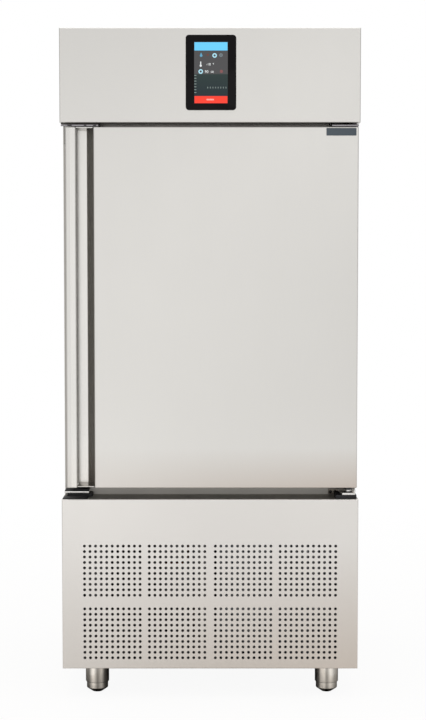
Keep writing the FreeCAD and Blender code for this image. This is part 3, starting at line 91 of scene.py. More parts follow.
# %% Sockets that do sums
class Value:
    """One number that may change over the surface; Python's operators add Math nodes."""

    def __init__(self, recipe, socket):
        self.recipe = recipe
        self.socket = socket

    def math(self, operation, *others):
        return self.recipe.node("ShaderNodeMath", {"operation": operation}, [self, *others])

    def __add__(self, other):
        return self.math("ADD", other)

    def __mul__(self, other):
        return self.math("MULTIPLY", other)

    def __sub__(self, other):
        return self.math("SUBTRACT", other)

    def __rsub__(self, other):
        return self.recipe.node("ShaderNodeMath", {"operation": "SUBTRACT"}, [other, self])

    def __truediv__(self, other):
        return self.math("DIVIDE", other)

    def __gt__(self, other):
        return self.math("GREATER_THAN", other)

    def __lt__(self, other):
        return self.math("LESS_THAN", other)

    __radd__ = __add__
    __rmul__ = __mul__

    def clamp(self):
        return self.math("MINIMUM", 1.0).math("MAXIMUM", 0.0)


class Recipe:
    """A node tree under construction: a material with one Principled shader, or a world."""

    def __init__(self, name, owner=None):
        self.material = owner or bpy.data.materials.new(name)
        self.material.use_nodes = True
        self.tree = self.material.node_tree
        self.shader = self.tree.nodes.get("Principled BSDF")

    def fill(self, socket, value):
        """Links a socket to another, or writes a plain value in it."""
        if isinstance(value, Value):
            self.tree.links.new(value.socket, socket)
        else:
            socket.default_value = value

    def node(self, kind, settings, inputs, output=0):
        """Adds a node: settings first, then a value or a link for each input."""
        made = self.tree.nodes.new(kind)
        for key, value in settings.items():
            setattr(made, key, value)
        for key, value in inputs.items() if isinstance(inputs, dict) else enumerate(inputs):
            self.fill(made.inputs[key], value)
        return Value(self, made.outputs[output])

    def place(self, scale=(1, 1, 1), offset=(0, 0, 0)):
        """The surface's place in metres, stretched by scale."""
        spot = self.node("ShaderNodeTexCoord", {}, {}, "Object")
        sockets = {"Vector": spot, "Scale": scale, "Location": offset}
        return self.node("ShaderNodeMapping", {}, sockets)

    def along(self, axis, coordinates="Object"):
        """The surface's x, y or z alone."""
        spot = self.node("ShaderNodeTexCoord", {}, {}, coordinates)
        return self.node("ShaderNodeSeparateXYZ", {}, [spot], "xyz".index(axis))

    def noise(self, place, scale, detail=3.0, roughness=0.55):
        sockets = {"Vector": place, "Scale": scale, "Detail": detail, "Roughness": roughness}
        return self.node("ShaderNodeTexNoise", {}, sockets, "Fac")

    def mix(self, factor, first, second):
        """A colour between two colours."""
        made = self.tree.nodes.new("ShaderNodeMix")
        made.data_type = "RGBA"
        for key, value in (("Factor_Float", factor), ("A_Color", first), ("B_Color", second)):
            self.fill(next(s for s in made.inputs if s.identifier == key), value)
        return Value(self, next(s for s in made.outputs if s.identifier == "Result_Color"))

    def ramp(self, factor, stops):
        """A number that passes through (place, level) stops."""
        made = self.tree.nodes.new("ShaderNodeValToRGB")
        made.color_ramp.interpolation = "EASE"
        marks = made.color_ramp.elements
        for mark, (place, level) in zip((marks[0], marks[1]), (stops[0], stops[-1])):
            mark.position = place
            mark.color = (level, level, level, 1)
        for place, level in stops[1:-1]:
            marks.new(place).color = (level, level, level, 1)
        self.fill(made.inputs["Fac"], factor)
        return Value(self, made.outputs["Color"])

    def bump(self, height, distance, strength=1.0):
        sockets = {"Height": height, "Distance": distance, "Strength": strength}
        return self.node("ShaderNodeBump", {}, sockets, "Normal")

    def ray(self, kind):
        """1 for rays of one kind, such as camera rays."""
        return self.node("ShaderNodeLightPath", {}, {}, f"Is {kind} Ray")

    def set(self, **values):
        """Fills sockets of the Principled shader, named with _ for a space."""
        for key, value in values.items():
            self.fill(self.shader.inputs[key.replace("_", " ")], value)
        return self.material


def linear(red, green, blue):
    """A screen colour (0 to 255) as the linear colour that a shader takes."""
    parts = []
    for part in (red, green, blue):
        part /= 255
        parts.append(part / 12.92 if part <= 0.04045 else ((part + 0.055) / 1.055) ** 2.4)
    return (*parts, 1.0)


def shade(colour, factor):
    """The same colour, lighter or darker."""
    return (*[part * factor for part in colour[:3]], 1.0)


# %% [markdown]
# ## Sheet steel
# Catering machines are made of stainless sheet with a fine ground grain. Seen from a step away
# it is an even, silky grey. The grain is a noise stretched a few hundred times along one
# direction. It moves the roughness most and the colour hardly at all, and a second, cloudy noise
# adds the faint handling marks that keep a large panel from looking like plastic. Two changes are
# laid over this: a stretch that the tool left smoother, as in the bent pull pocket, and a warm,
# darker low edge, most at the right, which is a painted reflection of the darker floor near the
# machine. Over the frame's top rail and the soffit the smoother stretch is also painted darker, as
# painted shade of the top gap. Folded frames, the soffit and the ledge are left with a dull mill
# finish, whose darker colour is painted shade of the gaps they line. The hinge brackets, the lower
# flange, the spare lip and strip and the hinge screws are darker copies of the steel: painted
# shade of the gaps they sit in.
#
# The legs are polished tube. A mirror finish on a thin tube breaks up into dark and bright lines
# that run down it; here those lines are painted reflections, a ramp of a few stops across each leg
# in its colour, darker on the side towards the machine's middle, with painted shade at its low
# end.


# %% Steel finishes
GRAIN_PER_M = 1400.0
GRAIN_STRETCH = 0.012
GRAIN_DEPTH = 0.00002
CLOUDS_PER_M = 3.5
SMUDGES_PER_M = 14.0
COLOUR_SPREAD = 0.035
LOW_REFLECTION_MIDDLE = 0.65
LOW_REFLECTION_LEAN = 0.9


def ground_steel(
    name, colour, roughness=0.34, grain="x", offset=0.0, marks=0.05, smoother=None, foot=None
):
    """Stainless sheet whose grain runs along x, y or z.

    smoother is (axis, from, to, less, tint): a less rough stretch; a tint below 1 paints shade on
    it.
    foot is (from, to, colour): the sheet's low edge takes this colour, most at its right, as a
    painted reflection.
    """
    recipe = Recipe(name)
    scale = [1.0, 1.0, 1.0]
    scale["xyz".index(grain)] = GRAIN_STRETCH
    streaks = recipe.noise(recipe.place(scale, (offset, offset, offset)), GRAIN_PER_M, 2.0)
    clouds = recipe.noise(recipe.place((1, 1, 1), (offset, 0, 0)), CLOUDS_PER_M, 4.0)
    smudges = recipe.noise(recipe.place((1, 1, 0.4), (0, offset, 0)), SMUDGES_PER_M, 5.0, 0.7)
    tone = 0.6 * streaks + 0.4 * clouds
    base = recipe.mix(tone, shade(colour, 1 - COLOUR_SPREAD), shade(colour, 1 + COLOUR_SPREAD))
    rough = roughness + 0.10 * (streaks - 0.5) + marks * (smudges - 0.5)
    if smoother:
        axis, start, stop, less, tint = smoother
        along = recipe.along(axis)
        stretch = (along > start) * (along < stop)
        rough = rough - less * stretch
        # A tint below 1 is painted shade over the stretch.
        base = recipe.mix(stretch, base, shade(colour, tint))
    # The low edge is darkened and warmed, most at the right: a painted reflection of the darker
    # floor.
    if foot:
        start, stop, reflected_colour = foot
        low_reflection = (1 - (recipe.along("z") - start) / (stop - start)).clamp()
        share = low_reflection * (LOW_REFLECTION_MIDDLE + LOW_REFLECTION_LEAN * recipe.along("x")).clamp()
        base = recipe.mix(share, base, reflected_colour)
    grain_bump = recipe.bump(streaks, GRAIN_DEPTH, 0.25)
    return recipe.set(Base_Color=base, Metallic=1.0, Roughness=rough, Normal=grain_bump)


LEG_MIDDLE = 0.005
LEG_HALF = 0.316
LEG_RADIUS = 0.032
LOW_SHADE = 0.90
SHADE_EDGE_PER_M = 700.0
# (place across the leg, tone) stops: painted reflections, darker on the side towards the middle.
LEFT_PAINTED_REFLECTIONS = (
    (0.0, 0.4), (0.15, 0.2), (0.35, 1.0), (0.54, 0.3), (0.70, 0.7), (0.85, 0.15), (1.0, 0.08),
)
RIGHT_PAINTED_REFLECTIONS = (
    (0.0, 0.05), (0.12, 0.2), (0.25, 1.0), (0.36, 1.0), (0.48, 0.4), (0.64, 0.9), (0.85, 0.4),
    (1.0, 0.5),
)


def polished_tube(name, high_z):
    """Ground tube: painted reflections run down it in dark and bright streaks; painted shade below
    high_z.
    """
    recipe = Recipe(name)
    x = recipe.along("x")
    right = x > LEG_MIDDLE
    # The base colour carries painted reflections across the leg and painted shade low down.
    across = (x - LEG_MIDDLE + LEG_HALF - 2 * LEG_HALF * right) / LEG_RADIUS * 0.5 + 0.5
    left_reflections, right_reflections = recipe.ramp(across, LEFT_PAINTED_REFLECTIONS), recipe.ramp(across, RIGHT_PAINTED_REFLECTIONS)
    tone = recipe.mix(right, left_reflections, right_reflections)
    grain = recipe.noise(recipe.place((1, 1, 0.02)), 900.0, 3.0)
    shadow = 1 - LOW_SHADE * ((high_z - recipe.along("z")) * SHADE_EDGE_PER_M).clamp()
    level = (tone * shadow * (0.90 + 0.24 * grain)).clamp()
    base = recipe.mix(level, linear(30, 28, 26), linear(254, 249, 241))
    return recipe.set(
        Base_Color=base, Metallic=1.0, Roughness=0.16 + 0.08 * grain,
        Specular_Tint=(0.3, 0.3, 0.3, 1),
    )


def zinc_steel(name, colour):
    """Galvanised sheet: large dull crystals, each a slightly different grey."""
    recipe = Recipe(name)
    place = recipe.place()
    crystals = recipe.node("ShaderNodeTexVoronoi", {}, {"Vector": place, "Scale": 85.0}, "Color")
    grey = recipe.node("ShaderNodeSeparateColor", {}, [crystals], 0)
    clouds = recipe.noise(place, 6.0)
    tone = 0.7 * grey + 0.3 * clouds
    base = recipe.mix(tone, shade(colour, 0.86), shade(colour, 1.10))
    return recipe.set(Base_Color=base, Metallic=1.0, Roughness=0.42 + 0.16 * grey)


POCKET = ("x", -0.3740, -0.3115, 0.09, 1.0)
# Over the door frame's top rail and the soffit the mill steel is painted darker: painted shade of
# the top gap.
HIGH_RAIL_SHADE = ("z", 1.50, 1.60, 0.22, 0.55)
STEEL = linear(206, 204, 200)
# Door and plinth low edges: painted reflection of the darker floor near the machine.
DOOR_LOW_REFLECTION = (0.565, 0.680, linear(184, 174, 165))
PLINTH_LOW_REFLECTION = (0.075, 0.420, linear(197, 188, 179))
header_steel = ground_steel("header_steel", STEEL, grain="x", offset=0.3)
door_steel = ground_steel(
    "door_steel", STEEL, grain="z", offset=1.1, smoother=POCKET, foot=DOOR_LOW_REFLECTION
)
plinth_steel = ground_steel(
    "plinth_steel", linear(209, 206, 202), grain="x", offset=2.7, foot=PLINTH_LOW_REFLECTION
)
body_steel = ground_steel("body_steel", STEEL, grain="z", offset=4.2)
roof_steel = ground_steel("roof_steel", STEEL, grain="y", offset=5.9)
chamber_steel = ground_steel("chamber_steel", linear(200, 200, 199), 0.30, "z", 6.4)
fitting_steel = ground_steel("fitting_steel", linear(214, 212, 209), 0.26, "x", 7.7)
wire_steel = ground_steel("wire_steel", linear(210, 210, 209), 0.20, "y", 8.8)
tube_steel = polished_tube("tube_steel", 0.030)
foot_steel = polished_tube("foot_steel", 0.0130)
# Darker copies of the steel for the hinge irons, flange, spare lip and strip, and hinge screws:
# painted shade.
bracket_steel = ground_steel("bracket_steel", linear(150, 147, 150), 0.40, "x", 11.5)
flange_steel = ground_steel("flange_steel", linear(122, 116, 109), 0.45, "x", 13.1)
dark_steel = ground_steel("dark_steel", linear(56, 53, 50), 0.42, "x", 14.2)
# Mill finish: rougher, and its darker colour is painted shade of the gaps it lines.
mill_steel = ground_steel("mill_steel", linear(170, 167, 162), 0.46, "x", 10.4, 0.10, HIGH_RAIL_SHADE)
back_zinc = zinc_steel("back_zinc", linear(176, 179, 182))
print("steels", len(bpy.data.materials))

# %% [markdown]
# ## Plastics, rubber, paint and the rest
# Moulded plastic and rubber have a fine even grain that scatters the light. Paint on a
# compressor has the long soft waves of an orange's skin. Copper darkens in patches. Each is one
# short function: a colour, a noise at the real scale, and a bump.


# %% Moulded, painted and cast finishes
def grained(name, colour, roughness, grain_scale=1800.0, depth=0.00004, spread=0.10):
    """Moulded plastic or rubber with a fine even grain."""
    recipe = Recipe(name)
    place = recipe.place()
    grain = recipe.noise(place, grain_scale, 2.0)
    clouds = recipe.noise(place, 30.0, 3.0)
    base = recipe.mix(clouds, shade(colour, 1 - spread), shade(colour, 1 + spread))
    rough = roughness + 0.12 * (grain - 0.5) + 0.08 * (clouds - 0.5)
    return recipe.set(Base_Color=base, Roughness=rough, Normal=recipe.bump(grain, depth, 0.4))


def painted(name, colour, roughness=0.22):
    """Sprayed gloss paint with its soft waves."""
    recipe = Recipe(name)
    place = recipe.place()
    waves = recipe.noise(place, 220.0, 1.0)
    dust = recipe.noise(place, 18.0, 5.0, 0.7)
    base = recipe.mix(dust, shade(colour, 0.9), shade(colour, 1.25))
    normal = recipe.bump(waves, 0.0002, 0.25)
    return recipe.set(Base_Color=base, Roughness=roughness + 0.2 * dust, Normal=normal)


def copper_tube(name):
    """Drawn copper, bright where handled and browner in patches."""
    recipe = Recipe(name)
    place = recipe.place()
    patches = recipe.noise(place, 40.0, 5.0, 0.65)
    bright = linear(214, 142, 108)
    tarnished = linear(138, 82, 58)
    base = recipe.mix((patches * 1.6 - 0.3).clamp(), bright, tarnished)
    return recipe.set(Base_Color=base, Metallic=1.0, Roughness=0.22 + 0.3 * patches)


def circuit_board(name):
    """Green board whose tracks show as fine lighter lines."""
    recipe = Recipe(name)
    sockets = {"Vector": recipe.place(), "Scale": 160.0}
    cells = recipe.node("ShaderNodeTexVoronoi", {"distance": "MANHATTAN"}, sockets, "Distance")
    tracks = (cells * 3.0).math("FRACT") > 0.72
    base = recipe.mix(tracks, linear(18, 78, 44), linear(58, 128, 78))
    return recipe.set(Base_Color=base, Roughness=0.38 - 0.1 * tracks)


def foam_fill(name):
    """Rigid foam, only seen where a cover is off."""
    recipe = Recipe(name)
    cells = recipe.noise(recipe.place(), 420.0, 3.0)
    base = recipe.mix(cells, linear(206, 186, 132), linear(232, 216, 168))
    return recipe.set(Base_Color=base, Roughness=0.95, Normal=recipe.bump(cells, 0.0006, 0.5))


black_plastic = grained("black_plastic", linear(34, 34, 36), 0.48)
white_plastic = grained("white_plastic", linear(232, 231, 227), 0.42, spread=0.02)
gasket_rubber = grained("gasket_rubber", linear(84, 84, 86), 0.62, 900.0, 0.00008)
mount_rubber = grained("mount_rubber", linear(28, 28, 28), 0.75, 900.0, 0.00010)
pad_plastic = grained("pad_plastic", linear(14, 13, 18), 0.62, 1200.0, 0.00003)
badge_paint = grained("badge_paint", linear(62, 74, 84), 0.30, 2400.0, 0.00001, 0.04)
can_paint = painted("can_paint", linear(26, 26, 28))
motor_paint = painted("motor_paint", linear(60, 61, 64), 0.35)
copper = copper_tube("copper")
board_green = circuit_board("board_green")
rigid_foam = foam_fill("rigid_foam")
fin_aluminium = ground_steel("fin_aluminium", linear(208, 212, 216), 0.38, "z", 12.0)
print("finishes", len(bpy.data.materials))

# %% [markdown]
# ## Helpers for shapes
# New pieces start as a bmesh, which is Blender's editable mesh. Each helper below makes one kind
# of shape that this machine uses again and again: a bevelled block, a turned part, a bent rod,
# a flat plate with round corners and a plate cut to an outline. `finish_piece` then makes the
# object, smooths it and lets it ride on its CAD body.

# %% Shape helpers
SMOOTH_ANGLE = math.radians(40)
WELD = 0.000002


def finish_piece(name, bm, body, material, replaces=()):
    """Makes an object of the bmesh, at the origin, that rides on a CAD body."""
    bmesh.ops.remove_doubles(bm, verts=bm.verts, dist=WELD)
    bmesh.ops.recalc_face_normals(bm, faces=bm.faces)
    for face in bm.faces:
        face.smooth = True
    mesh = bpy.data.meshes.new(name)
    bm.to_mesh(mesh)
    bm.free()
    mesh.set_sharp_from_angle(angle=SMOOTH_ANGLE)
    mesh.materials.append(material)
    piece = bpy.data.objects.new(name, mesh)
    bpy.context.scene.collection.objects.link(piece)
    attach(piece, body)
    if replaces:
        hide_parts(*replaces)
    print(name, len(mesh.polygons), "faces")


def join_into(bm, other):
    """Adds a second bmesh to the first."""
    scratch = bpy.data.meshes.new("scratch")
    other.to_mesh(scratch)
    other.free()
    bm.from_mesh(scratch)
    bpy.data.meshes.remove(scratch)


def verts_of(parts):
    return [part for part in parts if isinstance(part, bmesh.types.BMVert)]


def edges_among(bm, verts):
    """The edges that have both ends among these corners."""
    chosen = set(verts)
    return [edge for edge in bm.edges if edge.verts[0] in chosen and edge.verts[1] in chosen]


def broken(bm, geom, offset, segments=2, affect="EDGES", clamp=False):
    """Breaks edges, or rounds corners, with a bevel."""
    bmesh.ops.bevel(
        bm, geom=geom, offset=offset, segments=segments, profile=0.5, affect=affect, material=-1,
        clamp_overlap=clamp,
    )


def block(low, high, bevel=0.0005, segments=2):
    """A box between two corners with bevelled edges."""
    bm = bmesh.new()
    low, high = Vector(low), Vector(high)
    placed = Matrix.Translation((low + high) / 2) @ Matrix.Diagonal((*(high - low), 1))
    bmesh.ops.create_cube(bm, size=1, matrix=placed)
    if bevel:
        broken(bm, bm.edges[:], bevel, segments, clamp=True)
    return bm


def axis_frame(centre, axis):
    """A matrix whose Z points along axis, at centre."""
    turn = Vector((0, 0, 1)).rotation_difference(Vector(axis)).to_matrix().to_4x4()
    return Matrix.Translation(Vector(centre)) @ turn


def spun_round(bm, geom, steps):
    """Spins corners and edges once round Z and closes the ring."""
    bmesh.ops.spin(
        bm, geom=geom, cent=(0, 0, 0), axis=(0, 0, 1), dvec=(0, 0, 0),
        angle=math.radians(360), steps=steps, use_merge=True,
    )


def turned(profile, centre, axis=(0, 0, 1), steps=48):
    """A lathe part: (radius, height) points spun about an axis through centre."""
    bm = bmesh.new()
    points = [bm.verts.new((radius, 0, height)) for radius, height in profile]
    edges = [bm.edges.new(pair) for pair in zip(points, points[1:])]
    spun_round(bm, points + edges, steps)
    bmesh.ops.remove_doubles(bm, verts=bm.verts, dist=WELD)
    bm.transform(axis_frame(centre, axis))
    return bm


def bent_rod(points, radius, bend, sides=12, turns=6):
    """A round rod: a circle pushed along straight runs and spun round each turn."""
    points = [Vector(point) for point in points]
    bm = bmesh.new()
    heading = (points[1] - points[0]).normalized()
    start = bmesh.ops.create_circle(
        bm, cap_ends=True, radius=radius, segments=sides, matrix=axis_frame(points[0], heading)
    )
    loop = list({edge for vert in start["verts"] for edge in vert.link_edges})
    here = points[0]
    for index in range(1, len(points)):
        corner = points[index]
        last = index == len(points) - 1
        onward = heading if last else (points[index + 1] - corner).normalized()
        turn = heading.angle(onward)
        reach = 0 if last else bend * math.tan(turn / 2)
        stop = corner - heading * reach
        verts = verts_of(bmesh.ops.extrude_edge_only(bm, edges=loop)["geom"])
        bmesh.ops.translate(bm, verts=verts, vec=stop - here)
        loop = edges_among(bm, verts)
        if last:
            bmesh.ops.contextual_create(bm, geom=loop)
            break
        normal = heading.cross(onward).normalized()
        centre = stop + normal.cross(heading) * bend
        spun = bmesh.ops.spin(
            bm, geom=verts + loop, cent=centre, axis=normal, dvec=(0, 0, 0),
            angle=turn, steps=turns, use_merge=False,
        )["geom_last"]
        loop = [part for part in spun if isinstance(part, bmesh.types.BMEdge)]
        here = corner + onward * reach
        heading = onward
    return bm


def round_ring(centre, axis, radius, wire, steps=64, sides=8):
    """A ring of round wire."""
    bm = bmesh.new()
    place = Matrix.Translation((radius, 0, 0)) @ Matrix.Rotation(math.radians(90), 4, "X")
    made = bmesh.ops.create_circle(bm, cap_ends=False, radius=wire, segments=sides, matrix=place)
    spun_round(bm, made["verts"] + bm.edges[:], steps)
    bm.transform(axis_frame(centre, axis))
    return bm


def round_plate(low, high, corner, rim=0.0, corner_steps=8):
    """A plate facing -Y whose outline has round corners, with a bevelled front rim."""
    low, high = Vector(low), Vector(high)
    bm = bmesh.new()
    outline = [(low.x, low.z), (high.x, low.z), (high.x, high.z), (low.x, high.z)]
    bm.faces.new([bm.verts.new((x, high.y, z)) for x, z in outline])
    if corner:
        broken(bm, bm.verts[:], corner, corner_steps, "VERTICES")
    front = verts_of(bmesh.ops.extrude_face_region(bm, geom=bm.faces[:])["geom"])
    bmesh.ops.translate(bm, verts=front, vec=(0, low.y - high.y, 0))
    if rim:
        broken(bm, edges_among(bm, front), rim, 3)
    return bm


def cut_plate(outline, low_z, top_z, edge, segments):
    """A plate cut to an outline seen from above; top_z gives its upper height at a y."""
    bm = bmesh.new()
    bm.faces.new([bm.verts.new((x, y, low_z)) for x, y in outline])
    for vert in verts_of(bmesh.ops.extrude_face_region(bm, geom=bm.faces[:])["geom"]):
        vert.co.z = top_z(vert.co.y)
    bmesh.ops.recalc_face_normals(bm, faces=bm.faces[:])
    broken(bm, bm.edges[:], edge, segments)
    return bm


def together(parts):
    """One bmesh from several."""
    parts = list(parts)
    for other in parts[1:]:
        join_into(parts[0], other)
    return parts[0]


def mirrored(bm):
    """The same shape on the other side of the machine's middle."""
    bmesh.ops.scale(bm, vec=(-1, 1, 1), verts=bm.verts)
    bmesh.ops.reverse_faces(bm, faces=bm.faces)
    return bm


def middle(node):
    low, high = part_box(node)
    return (low + high) / 2


def loose_places(node):
    """The (low, high) corners of a CAD node's separate solids, found by their shared corners."""
    bm = bmesh.new()
    bm.from_mesh(frame["nodes"][node].data)
    bmesh.ops.remove_doubles(bm, verts=bm.verts, dist=0.00001)
    waiting = set(bm.verts)
    places = []
    while waiting:
        front = [waiting.pop()]
        island = []
        while front:
            vert = front.pop()
            island.append(vert.co.copy())
            for edge in vert.link_edges:
                other = edge.other_vert(vert)
                if other in waiting:
                    waiting.discard(other)
                    front.append(other)
        corners = [
            Vector([pick(co[axis] for co in island) for axis in range(3)]) for pick in (min, max)
        ]
        places.append(corners)
    bm.free()
    return sorted(places, key=lambda pair: (round(pair[0].z, 4), round(pair[0].x, 4)))


# %% [markdown]
# ## Feet
# Each leg is a bright tube under the base with an adjusting foot in it. The foot is a drum that
# narrows to a small flat. Both are lathe work, so they are spun from a profile.

# %% Feet and leg sleeves
SLEEVE_BORE = 0.0300
SLEEVE_LOW = 0.028
SLEEVE_HIGH = 0.080
foot_profile = [
    (0.0, 0.0), (0.0130, 0.0), (0.0141, 0.0005), (0.0283, 0.0104), (0.0290, 0.0112),
    (0.0292, 0.0122), (0.0292, 0.0615), (0.0287, 0.0620), (0.0, 0.0620),
]
stud_profile = [(0, 0.062), (0.008, 0.062), (0.008, 0.111), (0.007, 0.112), (0, 0.112)]
sleeve_profile = [
    (SLEEVE_BORE, SLEEVE_LOW + 0.0006), (0.0306, SLEEVE_LOW), (0.0313, SLEEVE_LOW + 0.0002),
    (LEG_RADIUS, SLEEVE_LOW + 0.0014), (LEG_RADIUS, SLEEVE_HIGH),
    (SLEEVE_BORE, SLEEVE_HIGH), (SLEEVE_BORE, SLEEVE_LOW + 0.0006),
]
sleeves = []
for foot in ("foot_front_left", "foot_front_right", "foot_rear_left", "foot_rear_right"):
    spot = middle(foot)
    base = (spot.x, spot.y, 0)
    drum = turned(foot_profile, base, steps=64)
    join_into(drum, turned(stud_profile, base, steps=24))
    finish_piece(foot + "_turned", drum, foot + "_body", foot_steel, [foot])
    sleeves.append(turned(sleeve_profile, base, steps=64))
tubes = together(sleeves)
finish_piece("leg_tubes", tubes, "cabinet", tube_steel, ["leg_sleeves"])

# %% [markdown]
# ## The display
# A sheet of black glass with round corners stands 3 mm proud of the header. Behind it the screen
# glows. The page on it is drawn with thin plates of light: a pale blue bar, four small icons, a
# thermometer, plain numbers, a dark chart with ticks and a red bar. Light plates are clearer than
# a painted texture, and they stay sharp in any close view.


# %% Lit inks
def glowing(name, colour):
    """A lit area of the screen."""
    recipe = Recipe(name)
    dots = recipe.noise(recipe.place(), 5200.0, 1.0)
    light = recipe.mix(dots, shade(colour, 0.93), shade(colour, 1.07))
    return recipe.set(
        Base_Color=shade(colour, 0.02), Roughness=0.25, Emission_Color=light,
        Emission_Strength=1.0, Specular_IOR_Level=0.2,
    )


def black_glass(name):
    """Printed black glass with faint wiping marks."""
    recipe = Recipe(name)
    wipes = recipe.noise(recipe.place((1, 1, 0.3)), 60.0, 4.0)
    base = recipe.mix(wipes, linear(14, 12, 14), linear(19, 17, 18))
    return recipe.set(Base_Color=base, Roughness=0.05 + 0.07 * wipes, Specular_IOR_Level=0.07)


PAGE_STEP_PER_M = 400.0


def screen_page(name, split_z, low_z):
    """The page's ground: grey above, dark teal below, with a soft glow to its middle."""
    recipe = Recipe(name)
    height = recipe.along("z")
    upper = ((height - split_z) * PAGE_STEP_PER_M).clamp()
    rise = ((height - low_z) / (split_z - low_z)).clamp()
    chart = recipe.mix(rise, linear(24, 36, 46), linear(40, 56, 54))
    page = recipe.mix(upper, chart, linear(78, 77, 78))
    return recipe.set(
        Base_Color=linear(10, 11, 12), Roughness=0.2, Emission_Color=page,
        Emission_Strength=1.0, Specular_IOR_Level=0.2,
    )


ink_colours = {
    "sky_ink": (108, 208, 255), "red_ink": (255, 66, 48), "white_ink": (236, 240, 240),
    "ice_ink": (178, 232, 248), "blue_ink": (96, 164, 196), "grey_ink": (120, 134, 140),
    "faint_red_ink": (132, 84, 84), "brick_ink": (112, 66, 58), "chart_ink": (140, 154, 150),
    "label_ink": (255, 190, 180),
}
ink = {name: glowing(name, linear(*colour)) for name, colour in ink_colours.items()}
glass_black = black_glass("glass_black")

# %% Glass and screen
GLASS_STEP = 0.0003
SCREEN_STEP = 0.0002
INK_STEP = 0.0001
glass_low, glass_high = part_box("display_glass")
screen_low, screen_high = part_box("display_screen")
face_y = glass_low.y
glass = round_plate(
    (glass_low.x, face_y + GLASS_STEP, glass_low.z), glass_high, 0.009, 0.0008, 12
)
finish_piece("touch_glass", glass, "cabinet", glass_black, ["display_glass"])

CHART_TOP = 1.6765
page_material = screen_page("page_ground", CHART_TOP, screen_low.z)
page = round_plate(
    (screen_low.x, face_y + SCREEN_STEP, screen_low.z),
    (screen_high.x, face_y + GLASS_STEP + 0.0002, screen_high.z), 0,
)
finish_piece("screen_page", page, "cabinet", page_material, ["display_screen"])


# %% Icons, bars, ticks and numbers
def ink_bar(x, z, corner=0.0):
    """A flat lit plate between two x and two z values."""
    low = (x[0], face_y + INK_STEP, z[0])
    return round_plate(low, (x[1], face_y + SCREEN_STEP, z[1]), corner, 0, 4)


def ink_disc(x, z, outer, inner=0.0):
    """A flat lit disc or ring."""
    front = -(face_y + INK_STEP)
    depth = -(face_y + SCREEN_STEP)
    profile = [(inner, depth), (inner, front), (outer, front), (outer, depth)]
    return turned(profile, (x, 0, z), (0, -1, 0), 32)


def ink_drop(x, z, size):
    """A drop: a disc whose top is drawn out to a point."""
    bm = ink_disc(x, z, size)
    for vert in bm.verts:
        rise = max(0.0, vert.co.z - z) / size
        vert.co.z += size * rise ** 3
        vert.co.x = x + (vert.co.x - x) * (1 - 0.35 * rise)
    return bm


def ink_number(text, x, z, size):
    """Plain digits, made a mesh and set on the page."""
    curve = bpy.data.curves.new("digits", "FONT")
    curve.body = text
    curve.size = size
    curve.extrude = INK_STEP / 2
    holder = bpy.data.objects.new("digits", curve)
    bpy.context.scene.collection.objects.link(holder)
    bpy.context.view_layer.update()
    mesh = bpy.data.meshes.new_from_object(holder)
    bm = bmesh.new()
    bm.from_mesh(mesh)
    bpy.data.objects.remove(holder)
    bpy.data.meshes.remove(mesh)
    upright = Matrix.Rotation(math.radians(90), 4, "X")
    bm.transform(Matrix.Translation((x, face_y + 1.5 * INK_STEP, z)) @ upright)
    return bm


BAR_EDGE = 0.0008
bar_x = (screen_low.x + BAR_EDGE, screen_high.x - BAR_EDGE)
page_marks = [
    ("bar_top", ink_bar(bar_x, (1.7396, 1.7612), 0.0008), "sky"),
    ("bar_bottom", ink_bar(bar_x, (1.6012, 1.6200), 0.0008), "red"),
    ("icon_drop", ink_drop(-0.0235, 1.7265, 0.0036), "blue"),
    ("icon_spark", ink_bar((-0.0085, -0.0035), (1.7262, 1.7305), 0.001), "brick"),
    ("icon_snow_ring", ink_disc(0.0122, 1.7266, 0.0060, 0.0030), "ice"),
    ("icon_grey", ink_disc(0.0290, 1.7275, 0.0046, 0.0026), "grey"),
    ("icon_grey_dot", ink_bar((0.0275, 0.0305), (1.7262, 1.7288)), "grey"),
    ("thermometer_bulb", ink_disc(-0.0246, 1.6998, 0.0029), "white"),
    ("thermometer_stem", ink_bar((-0.0259, -0.0233), (1.7010, 1.7108), 0.0012), "white"),
    ("setting_number", ink_number("-18", -0.0100, 1.7005, 0.0090), "white"),
    ("setting_degree", ink_disc(0.0090, 1.7050, 0.0017, 0.0009), "white"),
    ("fan_ring", ink_disc(-0.0246, 1.6845, 0.0060, 0.0030), "ice"),
    ("time_number", ink_number("90", -0.0140, 1.6808, 0.0100), "white"),
    ("time_minutes", ink_number("00", 0.0020, 1.6808, 0.0080), "white"),
    ("record_dot", ink_disc(0.0302, 1.6848, 0.0042), "faint_red"),
    ("label_bar", ink_bar((-0.0095, 0.0105), (1.6088, 1.6128), 0.0015), "label"),
]
for name, bm, colour in page_marks:
    finish_piece("screen_" + name, bm, "cabinet", ink[colour + "_ink"])

TICKS_UP = 7
TICKS_ALONG = 8
ticks = []
for tick in range(TICKS_UP):
    z = 1.6292 + tick * 0.00752
    ticks.append(ink_bar((-0.0415, -0.0362), (z - 0.0009, z + 0.0009)))
for tick in range(TICKS_ALONG):
    x = -0.0060 + tick * 0.0069
    ticks.append(ink_bar((x - 0.0008, x + 0.0008), (1.6400, 1.6445)))
chart_ticks = together(ticks)
finish_piece("screen_chart_ticks", chart_ticks, "cabinet", ink["chart_ink"])

# %% [markdown]
# ## Badge plate
# A small bare plate sits at the door's top right corner. It is slate grey and satin, and its
# front edges are softly bevelled so that they catch a line of light.

# %% Badge plate
badge_low, badge_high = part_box("badge_plate")
plate = round_plate(badge_low, badge_high, 0.0015, 0.0005, 4)
finish_piece("badge_blank", plate, "door", badge_paint, ["badge_plate"])

# %% [markdown]
# ## Hinge
# The door turns on two 12 mm pins. Each pin stands on a bracket bolted to the body, and turns in
# a black plastic bush set in the end of the door. The lower bracket's arm is cut from plate and
# widens towards the body; its outline is extruded and its edges are broken with a bevel. The
# other side keeps a short support plate and a punched strip, for a door hung the other way.

